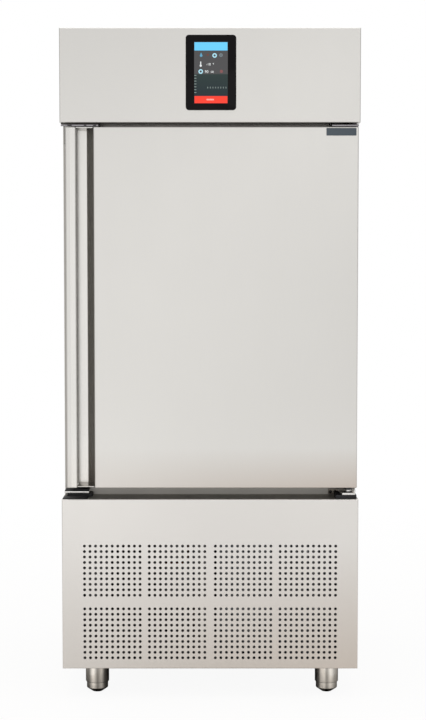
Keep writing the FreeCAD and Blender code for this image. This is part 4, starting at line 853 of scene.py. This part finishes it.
# %% Hinge brackets, bushes and pins
HINGE = Vector(frame["joints"][0]["pos_m"])
PIN_RADIUS = 0.006
door_low, door_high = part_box("door_skin")
body_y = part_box("door_frame")[0].y
arm_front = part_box("hinge_brackets")[0].y
low_arm = (0.552, 0.558)
high_arm = (1.5418, 1.5468)
flange_low_z = 0.543
flange_high_z = 1.5507
flange = (body_y - 0.006, body_y)
flange_x = (0.325, 0.397)
flare_y = -0.324
axis_spot = (HINGE.x, HINGE.y, 0)
arm_outline = [
    (0.357, arm_front), (0.392, arm_front), (0.399, flare_y), (0.399, flange[0]),
    (0.350, flange[0]), (0.350, flare_y),
]
arm = cut_plate(arm_outline, low_arm[0], lambda y: low_arm[1], 0.0013, 3)
low_flange = block(
    (flange_x[0], flange[0], flange_low_z), (flange_x[1], flange[1], low_arm[1]), 0.0008
)
irons = [
    block((flange_x[0], arm_front, high_arm[0]), (flange_x[1], flange[0], high_arm[1]), 0.0010, 3),
    block((flange_x[0], flange[0], high_arm[0]), (flange_x[1], flange[1], flange_high_z), 0.0008),
]
pin_in_door = 0.020
washer_top = 0.5606
washer = [
    (PIN_RADIUS, low_arm[1]), (0.0098, low_arm[1]), (0.0100, low_arm[1] + 0.0003),
    (0.0100, washer_top - 0.0004), (0.0096, washer_top), (PIN_RADIUS, washer_top),
]
low_pin = [
    (0, low_arm[1]), (PIN_RADIUS, low_arm[1]), (PIN_RADIUS, washer_top), (0.0068, washer_top),
    (0.0068, 0.5652), (0.0064, 0.5657), (PIN_RADIUS, 0.5657),
    (PIN_RADIUS, door_low.z + pin_in_door - 0.001), (0.005, door_low.z + pin_in_door),
    (0, door_low.z + pin_in_door),
]
high_pin = [
    (0, door_high.z - pin_in_door), (0.005, door_high.z - pin_in_door),
    (PIN_RADIUS, door_high.z - pin_in_door + 0.001), (PIN_RADIUS, high_arm[0]), (0, high_arm[0]),
]
join_into(arm, turned(low_pin, axis_spot, steps=32))
irons.append(turned(high_pin, axis_spot, steps=32))
finish_piece("hinge_arm", arm, "cabinet", fitting_steel, ["hinge_brackets"])
finish_piece("hinge_irons", together(irons), "cabinet", bracket_steel)
finish_piece("hinge_flange", low_flange, "cabinet", flange_steel)
washer_ring = turned(washer, axis_spot, steps=32)
finish_piece("hinge_washer", washer_ring, "cabinet", pad_plastic)

BORE = PIN_RADIUS + 0.00005
BUSH_LENGTH = 0.028
low_bush = [
    (BORE, -0.006), (0.0115, -0.006), (0.012, -0.0055), (0.012, 0), (0.010, 0),
    (0.010, BUSH_LENGTH), (BORE, BUSH_LENGTH), (BORE, -0.006),
]
high_bush = [
    (BORE, -BUSH_LENGTH), (0.010, -BUSH_LENGTH), (0.010, -0.0004), (0.0096, 0), (BORE, 0),
    (BORE, -BUSH_LENGTH),
]
bushes = together(
    turned(profile, (HINGE.x, HINGE.y, end_z), steps=32)
    for profile, end_z in ((low_bush, door_low.z), (high_bush, door_high.z))
)
finish_piece("hinge_bushings", bushes, "door", black_plastic, ["hinge_bushes"])

# %% Spare side: support plate, punched strip and rubber
(support_low, support_high), (strip_low, strip_high) = loose_places("spare_hinge_plates")
LIP_Z = (0.0040, 0.0088)
LIP_THICK = 0.0012
lip_front = strip_low.y + 0.0003
lip_low = (strip_low.x, lip_front, strip_high.z - LIP_Z[1])
lip_high = (strip_high.x, lip_front + LIP_THICK, strip_high.z - LIP_Z[0])
lip = block(lip_low, lip_high, 0.0004)
finish_piece("spare_lip", lip, "cabinet", bracket_steel)
support = block(support_low, support_high, 0.0008, 3)
finish_piece("spare_plates", support, "cabinet", fitting_steel, ["spare_hinge_plates"])
strip = block(strip_low, strip_high, 0.0006)
finish_piece("spare_strip", strip, "cabinet", dark_steel)

THIN_RUBBER = 0.0026
THICK_RUBBER = 0.0058
RUBBER_EDGE = 0.0008
# Black rubber on the support plate, and in front of it a thin black sheet on the ledge: painted
# shade.
rubber_and_shade_sheet = together([
    block(
        (support_low.x + 0.001, support_low.y + 0.0006, support_high.z),
        (support_high.x, support_high.y, support_high.z + THIN_RUBBER), RUBBER_EDGE,
    ),
    block(
        (-0.3735, support_low.y + 0.0008, support_high.z + THIN_RUBBER - RUBBER_EDGE),
        (support_high.x, support_high.y, support_high.z + THICK_RUBBER), RUBBER_EDGE,
    ),
    # A thin black sheet on the ledge in front of the plate: painted shade.
    block((support_low.x, -0.390, 0.5421), (support_high.x, support_low.y, 0.5438), 0.0005),
])
finish_piece("spare_plate_rubber", rubber_and_shade_sheet, "cabinet", pad_plastic)

# The punched holes are black plates: painted shade inside the holes.
SLOT_INSET = 0.0009
hole_shades = []
for x, half in ((-HINGE.x, 0.0058), (-0.333, 0.0036), (-0.3076, 0.0041)):
    slot_low = (x - half, lip_front - 0.0002, lip_low[2] + SLOT_INSET)
    slot_high = (x + half, lip_front + 0.0001, lip_high[2] - SLOT_INSET)
    hole_shades.append(block(slot_low, slot_high, 0.0001, 1))
finish_piece("spare_strip_holes", together(hole_shades), "cabinet", pad_plastic)

# %% [markdown]
# ## Pull pocket's ends
# A bent end piece closes the pull pocket at the top and at the bottom of the door. Its inner face
# slopes from the pocket's mouth to its floor, so it is a wedge: the pocket's section is drawn from
# above and extruded, the corners at the floor are raised more, and the edges are broken.

# %% End pieces
WEDGE_STEP_Y = -0.360
cap_low, cap_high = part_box("pull_end_caps")
wedge_x = cap_low.x + 0.0004
wedge_y = (cap_low.y + 0.0006, cap_high.y - 0.0008)
wedge_outline = (
    (wedge_x, wedge_y[1]), (wedge_x, wedge_y[0]), (-0.3128, wedge_y[0]), (-0.3344, wedge_y[1]),
)


def end_wedge(outer_z, mouth_z, floor_z):
    """An end piece that is thin at the pocket's mouth and taller at its floor."""
    slope = lambda y: floor_z if y > WEDGE_STEP_Y else mouth_z
    return cut_plate(wedge_outline, outer_z, slope, 0.0003, 2)


wedges = together([
    end_wedge(cap_low.z + 0.0026, cap_low.z + 0.0048, cap_low.z + 0.0085),
    end_wedge(cap_high.z - 0.0004, cap_high.z - 0.0030, cap_high.z - 0.0060),
])
finish_piece("pocket_ends", wedges, "door", door_steel, ["pull_end_caps"])

# %% [markdown]
# ## Screws
# Pan-head screws with a cross recess hold the back panel, the rear grille and the lower hinge.
# A head is turned with a shallow recess in its middle, and two thin dark bars in the recess make
# the cross; the bars are painted shade of the cross recess. One is set on every CAD screw, whose
# places come from the node's own loose pieces.


# %% Screw heads
pan_head = [
    (0.0045, 0), (0.0044, 0.0008), (0.0036, 0.0016), (0.0022, 0.0019), (0.0014, 0.0020),
    (0.0009, 0.0012), (0, 0.0010),
]


def screw_head(place, outward):
    """A pan head that stands on a face, and the two bars of its cross, painted shade of its
    recess.
    """
    head = turned(pan_head, place, outward, 16)
    bars = []
    for quarter in (0, 90):
        bar = block((-0.0021, -0.00035, 0.0009), (0.0021, 0.00035, 0.00195), 0)
        bar.transform(axis_frame(place, outward) @ Matrix.Rotation(math.radians(quarter), 4, "Z"))
        bars.append(bar)
    return head, bars


HEAD_HEIGHT = 0.002
heads = []
hinge_heads = []
cross_shades = []
for low, high in loose_places("cabinet_screws"):
    faces_back = high.y > 0
    seat_y = high.y - HEAD_HEIGHT if faces_back else low.y + HEAD_HEIGHT
    spot = ((low.x + high.x) / 2, seat_y, (low.z + high.z) / 2)
    head, bars = screw_head(spot, (0, 1, 0) if faces_back else (0, -1, 0))
    (heads if faces_back else hinge_heads).append(head)
    cross_shades += bars
heads, hinge_heads, cross_shades = together(heads), together(hinge_heads), together(cross_shades)
finish_piece("screw_heads", heads, "cabinet", wire_steel, ["cabinet_screws"])
finish_piece("hinge_screw_heads", hinge_heads, "cabinet", dark_steel)
finish_piece("screw_crosses", cross_shades, "cabinet", black_plastic)

# %% [markdown]
# ## Door gasket
# A magnetic gasket runs round the door's back: a foot clipped to the door, a folded bellows and
# a bulb that meets the body. Its section is drawn once as steps in and out from the outer edge,
# and an edge loop is extruded through those steps all the way round.


# %% Gasket
def framed_section(half, low_z, high_z, section):
    """A closed section of (inset, y) points run round an upright rectangle."""
    bm = bmesh.new()
    corners = [(-1, low_z, 1), (1, low_z, 1), (1, high_z, -1), (-1, high_z, -1)]

    def corner_place(side, z, up, inset, y):
        return Vector((side * (half - inset), y, z + up * inset))

    first = [bm.verts.new(corner_place(*corner, *section[0])) for corner in corners]
    loop = [bm.edges.new((first[i], first[(i + 1) % 4])) for i in range(4)]
    start_loop = loop
    now = section[0]
    for inset, y in section[1:]:
        fresh = verts_of(bmesh.ops.extrude_edge_only(bm, edges=loop)["geom"])
        placed = []
        for corner in corners:
            old = corner_place(*corner, *now)
            vert = min(fresh, key=lambda v: (v.co - old).length)
            fresh.remove(vert)
            vert.co = corner_place(*corner, inset, y)
            placed.append(vert)
        loop = edges_among(bm, placed)
        now = (inset, y)
    bmesh.ops.bridge_loops(bm, edges=start_loop + loop)
    return bm


gasket_low, gasket_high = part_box("door_gasket")
seal = gasket_high.y - gasket_low.y
gasket_section = [
    (0.0, 0.0), (0.0, 0.0030), (0.0040, 0.0038), (0.0055, 0.0055), (0.0030, 0.0072),
    (0.0018, 0.0085), (0.0016, seal - 0.0012), (0.0028, seal), (0.0190, seal),
    (0.0204, seal - 0.0012), (0.0202, 0.0085), (0.0188, 0.0070), (0.0165, 0.0052),
    (0.0182, 0.0036), (0.0220, 0.0028), (0.0220, 0.0),
]
gasket_section = [(inset, gasket_low.y + out) for inset, out in gasket_section]
gasket = framed_section(gasket_high.x, gasket_low.z, gasket_high.z, gasket_section)
finish_piece("door_seal", gasket, "door", gasket_rubber, ["door_gasket"])

# %% [markdown]
# ## Tray racks
# Each side has two posts and fourteen rails bent from 8 mm rod. The rail's ends go into the
# posts. The rods are round, so they are swept with twelve sides and smoothed.

# %% Racks and studs
LEVELS = 14
LEVEL_PITCH = 0.060
LEVEL_LOW = 0.650
rack_low, rack_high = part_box("tray_rack_right")
RAIL_RADIUS = 0.004
RAIL_BEND = 0.016
RAIL_GAP = 0.0002
post_depth = 0.012
post_x = (rack_high.x - post_depth, rack_high.x)
rail_x = rack_low.x + RAIL_RADIUS
post_ys = (rack_low.y + post_depth / 2, rack_high.y - post_depth / 2)


def rack():
    """Two posts and their rails, on the right side."""
    parts = []
    for y in post_ys:
        low = (post_x[0], y - post_depth / 2, rack_low.z)
        parts.append(block(low, (post_x[1], y + post_depth / 2, rack_high.z), 0.0012, 3))
    for level in range(LEVELS):
        z = LEVEL_LOW + level * LEVEL_PITCH
        route = [
            (post_x[0] - RAIL_GAP, post_ys[0], z), (rail_x, post_ys[0], z),
            (rail_x, post_ys[1], z), (post_x[0] - RAIL_GAP, post_ys[1], z),
        ]
        parts.append(bent_rod(route, RAIL_RADIUS, RAIL_BEND))
    return together(parts)


for side, made in (("right", rack()), ("left", mirrored(rack()))):
    node = "tray_rack_" + side
    finish_piece("rack_" + side, made, "cabinet", wire_steel, [node])

# %% [markdown]
# ## Fans
# Two fans blow over the evaporator and one cools the condenser. Each has a guard of ring wires,
# a motor in its middle, and a rotor with five swept blades. The blade starts as a flat grid whose
# rows are turned a little more towards the hub, as a real blade twists, and Solidify's operator
# gives it its thickness.


# %% Fan parts
RINGS = 7
SPOKES = 6
RING_WIRE = 0.0012
SPOKE_WIRE = 0.0016
BLADES = 5
RIBS = 4


def solid_round(radius, low, high):
    """The profile of a solid round part."""
    return [(0, low), (radius, low), (radius, high), (0, high)]


def bored_round(bore, radius, low, high):
    """The profile of a round part with a hole through it."""
    return [(bore, low), (radius, low), (radius, high), (bore, high), (bore, low)]


def wire_guard(centre, outward, rim, hub):
    """Ring wires on six spokes, with the plate that carries the motor."""
    parts = []
    for ring in range(RINGS):
        radius = hub + (rim - hub) * (ring + 1) / RINGS
        parts.append(round_ring(centre, outward, radius - RING_WIRE, RING_WIRE, 72, 6))
    parts.append(turned(solid_round(hub, -0.001, 0.001), centre, outward, 48))
    place = axis_frame(centre, outward)
    for spoke in range(SPOKES):
        turn = place @ Matrix.Rotation(math.radians(360 / SPOKES * spoke + 15), 4, "Z")
        start = turn @ Vector((hub - 0.006, 0, -SPOKE_WIRE))
        end = turn @ Vector((rim - 0.001, 0, -SPOKE_WIRE))
        parts.append(bent_rod([start, end], SPOKE_WIRE, 0, 8))
    return together(parts)


def blade(hub, tip):
    """One swept, twisted blade along +X, turning about Z."""
    bm = bmesh.new()
    bmesh.ops.create_grid(bm, x_segments=10, y_segments=8, size=0.5)
    for vert in bm.verts:
        along = vert.co.x + 0.5
        across = vert.co.y
        radius = hub + (tip - hub) * along
        chord = 0.050 + 0.034 * math.sin(along * math.pi * 0.62)
        pitch = math.radians(38 - 16 * along)
        sweep = 0.30 * along * along
        camber = 0.006 * (1 - 4 * across * across)
        side = across * chord * math.cos(pitch) + sweep * 0.06
        lift = across * chord * math.sin(pitch) + camber
        angle = side / radius
        vert.co = (radius * math.cos(angle), radius * math.sin(angle), lift)
    bmesh.ops.solidify(bm, geom=bm.faces[:], thickness=0.0022)
    return bm


def rotor(centre, outward, hub, tip, length):
    """Cup, blades and shaft; outward points to the guard."""
    end = length / 2
    cup = [
        (0, -end), (hub - 0.004, -end), (hub, -end + 0.004), (hub, end), (hub - 0.003, end),
        (hub - 0.003, end - 0.004), (0, end - 0.004),
    ]
    shaft = solid_round(0.005, end, end + 0.018)
    parts = [turned(cup, (0, 0, 0), steps=48), turned(shaft, (0, 0, 0), steps=20)]
    for index in range(BLADES):
        one = blade(hub - 0.002, tip)
        one.transform(Matrix.Rotation(math.radians(360 / BLADES * index), 4, "Z"))
        parts.append(one)
    bm = together(parts)
    bm.transform(axis_frame(centre, outward))
    return bm


def stator(centre, outward, radius, length):
    """The motor's fixed half: a ribbed drum behind the guard's plate."""
    profile = [(0.006, 0), (radius, 0)]
    for rib in range(RIBS):
        low = -length * (rib + 0.15) / RIBS
        profile += [
            (radius, low), (radius - 0.002, low - 0.001), (radius - 0.002, low - 0.003),
            (radius, low - 0.004),
        ]
    profile += [(radius, -length), (0.006, -length), (0.006, 0)]
    return turned(profile, centre, outward, 48)


# %% Place the three fans
FAN_HUB = 0.044
ROTOR_LENGTH = 0.036
STATOR_RADIUS = 0.042
STATOR_LENGTH = 0.020
guards = []
motors = []
for joint in frame["joints"]:
    if not joint.get("continuous"):
        continue
    name = joint["child"].replace("_rotor", "")
    spot = Vector(joint["pos_m"])
    if name == "condenser_fan":
        tip, face, outward = 0.140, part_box("fan_duct")[1].y, Vector((0, 1, 0))
    else:
        tip, face, outward = 0.118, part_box("fan_deflector")[0].y, Vector((0, -1, 0))
    seat = Vector((spot.x, face, spot.z))
    guards.append(wire_guard(seat + outward * 0.0024, outward, tip + 0.015, STATOR_RADIUS))
    motors.append(stator(seat, outward, STATOR_RADIUS, STATOR_LENGTH))
    made = rotor(spot, outward, FAN_HUB, tip, ROTOR_LENGTH)
    finish_piece(name + "_blades", made, joint["child"], black_plastic, [name])
guards, motors = together(guards), together(motors)
finish_piece("guard_wires", guards, "cabinet", wire_steel, ["fan_guards"])
finish_piece("fan_stators", motors, "cabinet", motor_paint, ["fan_motors"])

# %% [markdown]
# ## The machine behind the perforated panel
# The compressor is a pressed can with a welded seam round its middle, on four rubber feet. The
# receiver is a smaller can, and the pipes are bent copper tube. They are seen only through the
# holes and slots, but the open spaces behind a grille look wrong when they are empty.

# %% Compressor, receiver and drier
def standing(node, profile, steps):
    """A part turned about the upright line through a CAD node's middle."""
    spot = middle(node)
    return turned(profile, (spot.x, spot.y, 0), steps=steps)


can_low, can_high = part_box("compressor")
can_profile = [
    (0, 0.106), (0.078, 0.106), (0.0835, 0.110), (0.085, 0.117), (0.085, 0.208), (0.0865, 0.210),
    (0.0865, 0.216), (0.085, 0.218), (0.085, 0.288), (0.0820, 0.306), (0.0740, 0.322),
    (0.0580, 0.335), (0.0360, 0.342), (0.0180, 0.3445), (0, 0.345),
]
foot_plate = block((can_low.x, can_low.y, 0.102), (can_high.x, can_high.y, 0.106), 0.001, 2)
can = together([standing("compressor", can_profile, 56), foot_plate])
finish_piece("compressor_can", can, "cabinet", can_paint, ["compressor"])

receiver_low, receiver_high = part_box("liquid_receiver")
receiver_profile = [
    (0, receiver_low.z), (0.048, receiver_low.z), (0.050, receiver_low.z + 0.003), (0.050, 0.252),
    (0.0470, 0.262), (0.0380, 0.271), (0.0240, 0.277), (0.0100, 0.2795), (0, receiver_high.z),
]
receiver = standing("liquid_receiver", receiver_profile, 48)
finish_piece("receiver_can", receiver, "cabinet", can_paint, ["liquid_receiver"])

drier_low, drier_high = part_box("filter_drier")
drier_end = [(0, 0), (0.005, 0), (0.007, 0.006), (0.0145, 0.013), (0.016, 0.018)]
drier_profile = [(radius, drier_low.z + rise) for radius, rise in drier_end]
drier_profile += [(radius, drier_high.z - rise) for radius, rise in reversed(drier_end)]
drier = standing("filter_drier", drier_profile, 32)
finish_piece("drier_cartridge", drier, "cabinet", copper, ["filter_drier"])

# %% [markdown]
# ## Cable gland
# The supply lead's gland stands at the low back corner: a hexagon, a ribbed dome nut and a bore.
# No lead shows in the photograph, so there is none.

# %% Cable gland
GLAND_BORE = 0.005
gland_spot = middle("cable_gland")
seat = Vector((gland_spot.x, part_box("cable_gland")[1].y - 0.016, gland_spot.z))
dome = [
    (0.005, 0.0075), (0.0128, 0.0075), (0.0128, 0.0120), (0.0112, 0.0150), (0.0090, 0.0160),
    (0.0056, 0.0160), (0.005, 0.0150), (0.005, 0.0075),
]
hexagon = bored_round(GLAND_BORE, 0.015, 0, 0.0075)
thread = bored_round(GLAND_BORE, 0.010, -0.014, 0)
nut = bored_round(0.010, 0.014, -0.0072, -0.0012)
gland = together(
    turned(profile, seat, (0, 1, 0), steps)
    for profile, steps in ((hexagon, 6), (dome, 32), (thread, 32), (nut, 6))
)
finish_piece("lead_gland", gland, "cabinet", black_plastic, ["cable_gland"])

# %% [markdown]
# ## Finishes for the CAD pieces
# Every sheet-metal part keeps its CAD mesh and only gets a material. Neighbours share a steel but
# not the direction of its grain: sheets are cut from coils, so a roof and a side rarely match.

# %% Assign materials to CAD nodes
cad_finish = {
    header_steel: ["header_panel"],
    door_steel: ["door_skin"],
    plinth_steel: ["lower_front_panel"],
    body_steel: ["left_side_panel", "right_side_panel", "front_cheeks"],
    mill_steel: ["door_frame", "header_soffit", "plinth_ledge"],
    roof_steel: ["roof_panel"],
    chamber_steel: ["chamber_liner", "door_inner_pan", "fan_deflector", "rack_studs"],
    back_zinc: ["back_panel", "rear_grille", "base_plate", "body_end_sheets", "condenser_shroud",
                "fan_duct"],
    rigid_foam: ["body_insulation", "door_foam"],
    fin_aluminium: ["evaporator_coil", "condenser_coil"],
    copper: ["refrigerant_pipes"],
    white_plastic: ["door_sensor", "drain_pipe", "terminal_block"],
    black_plastic: ["display_housing", "terminal_cover", "contactor", "probe_socket"],
    pad_plastic: ["hinge_pads"],
    mount_rubber: ["compressor_mounts"],
    board_green: ["control_board"],
}
for material, names in cad_finish.items():
    for name in names:
        mesh = frame["nodes"][name].data
        mesh.materials.clear()
        mesh.materials.append(material)
shown = [name for name, node in frame["nodes"].items() if not node.hide_render]
plain = set(shown) - {name for names in cad_finish.values() for name in names}
print("CAD pieces shown", len(shown), "without a finish", sorted(plain))

# %% [markdown]
# ## Floor, sky and lamps
# The photograph is a cut-out on white. The world is white for the camera and for reflections, so
# that steel shows a white studio, and a little dimmer for the light that falls on dull surfaces.
# Reflections of the far left and right are dimmer too, which gives bent edges their grey lines.
# The floor does the same but keeps part of its own warm shading, so a soft shadow stays under the
# feet and the sheets near the ground turn a little darker, as they do in a real studio.

# %% World
FILL_LEVEL = 0.85
SIDE_LEVEL = 0.62
SIDE_START = 0.35
SIDE_END = 0.95
WHITE = (1, 1, 1, 1)
world = bpy.data.worlds.new("white_studio")
bpy.context.scene.world = world
sky = Recipe("white_studio", world)
sky.tree.nodes.clear()


def background(strength):
    return sky.node("ShaderNodeBackground", {}, {"Color": WHITE, "Strength": strength})


side_range = {"From Min": SIDE_START, "From Max": SIDE_END, "To Min": 1.0, "To Max": SIDE_LEVEL}
side_range["Value"] = sky.along("x", "Generated").math("ABSOLUTE")
side_level = sky.node("ShaderNodeMapRange", {"interpolation_type": "SMOOTHSTEP"}, side_range)
mirrored_sky = background(side_level.math("MAXIMUM", sky.ray("Camera")))
seen_directly = (sky.ray("Camera") + sky.ray("Glossy") + sky.ray("Transmission")).clamp()
shown_sky = sky.node(
    "ShaderNodeMixShader", {}, [seen_directly, background(FILL_LEVEL), mirrored_sky]
)
sky_out = sky.tree.nodes.new("ShaderNodeOutputWorld")
sky.fill(sky_out.inputs["Surface"], shown_sky)

# %% Floor
FLOOR_SIZE = 30.0
CAMERA_GLOW = 0.93
MIRROR_GLOW = 0.47
FOOTPRINT_REACH = 0.56
SHADOW_REACH = (0.6, 3.0)
floor_bm = bmesh.new()
bmesh.ops.create_grid(floor_bm, x_segments=8, y_segments=8, size=FLOOR_SIZE / 2)
floor_mesh = bpy.data.meshes.new("studio_floor")
floor_bm.to_mesh(floor_mesh)
floor_bm.free()
floor = bpy.data.objects.new("studio_floor", floor_mesh)
floor.location = (0, 0, -0.0005)
bpy.context.scene.collection.objects.link(floor)

floor_recipe = Recipe("floor_white")
floor_recipe.set(Base_Color=(0.925, 0.89, 0.85, 1), Roughness=0.9, Specular_IOR_Level=0.1)
spot = floor_recipe.place((1, 1, 0))
away = floor_recipe.node("ShaderNodeVectorMath", {"operation": "LENGTH"}, [spot], "Value")
fade = ((away - SHADOW_REACH[0]) / (SHADOW_REACH[1] - SHADOW_REACH[0])).clamp()
for_camera = floor_recipe.ray("Camera") * (CAMERA_GLOW + (1 - CAMERA_GLOW) * fade)
mirror_glow = MIRROR_GLOW + (1 - MIRROR_GLOW) * fade
for_mirrors = floor_recipe.ray("Glossy") * (away > FOOTPRINT_REACH) * mirror_glow
share = (for_camera + for_mirrors).clamp()
glow = floor_recipe.node("ShaderNodeEmission", {}, {"Color": WHITE})
dull = Value(floor_recipe, floor_recipe.shader.outputs[0])
blend = floor_recipe.node("ShaderNodeMixShader", {}, [share, dull, glow])
floor_recipe.fill(floor_recipe.tree.nodes["Material Output"].inputs["Surface"], blend)
floor_mesh.materials.append(floor_recipe.material)


# %% Lamps
def soft_lamp(name, place, aim, size, power):
    """A rectangular studio lamp that points at aim."""
    data = bpy.data.lights.new(name, "AREA")
    data.shape = "RECTANGLE"
    data.size = size[0]
    data.size_y = size[1]
    data.energy = power
    lamp = bpy.data.objects.new(name, data)
    lamp.location = place
    lamp.rotation_euler = (Vector(aim) - Vector(place)).to_track_quat("-Z", "Y").to_euler()
    bpy.context.scene.collection.objects.link(lamp)


studio_lamps = {
    "key_front": ((-0.9, -7.0, 1.15), (0, -0.4, 1.0), (3.0, 2.4), 9),
    "high_right": ((0.9, -4.8, 2.1), (0.2, -0.4, 1.6), (1.2, 0.8), 2.2),
    "low_left": ((-0.6, -2.6, 0.15), (-0.2, -0.4, 0.5), (0.8, 0.4), 0.75),
    "low_right": ((0.6, -2.6, 0.15), (0.2, -0.4, 0.5), (0.8, 0.4), 0.5),
    "top": ((0, -0.6, 4.2), (0, 0, 1.0), (2.4, 2.4), 24),
}
for name, (place, aim, size, power) in studio_lamps.items():
    soft_lamp(name, place, aim, size, power)

# %% [markdown]
# The dressed model must stay inside the CAD model's box.

# %% View transform
view = bpy.context.scene.view_settings
view.view_transform = "Standard"
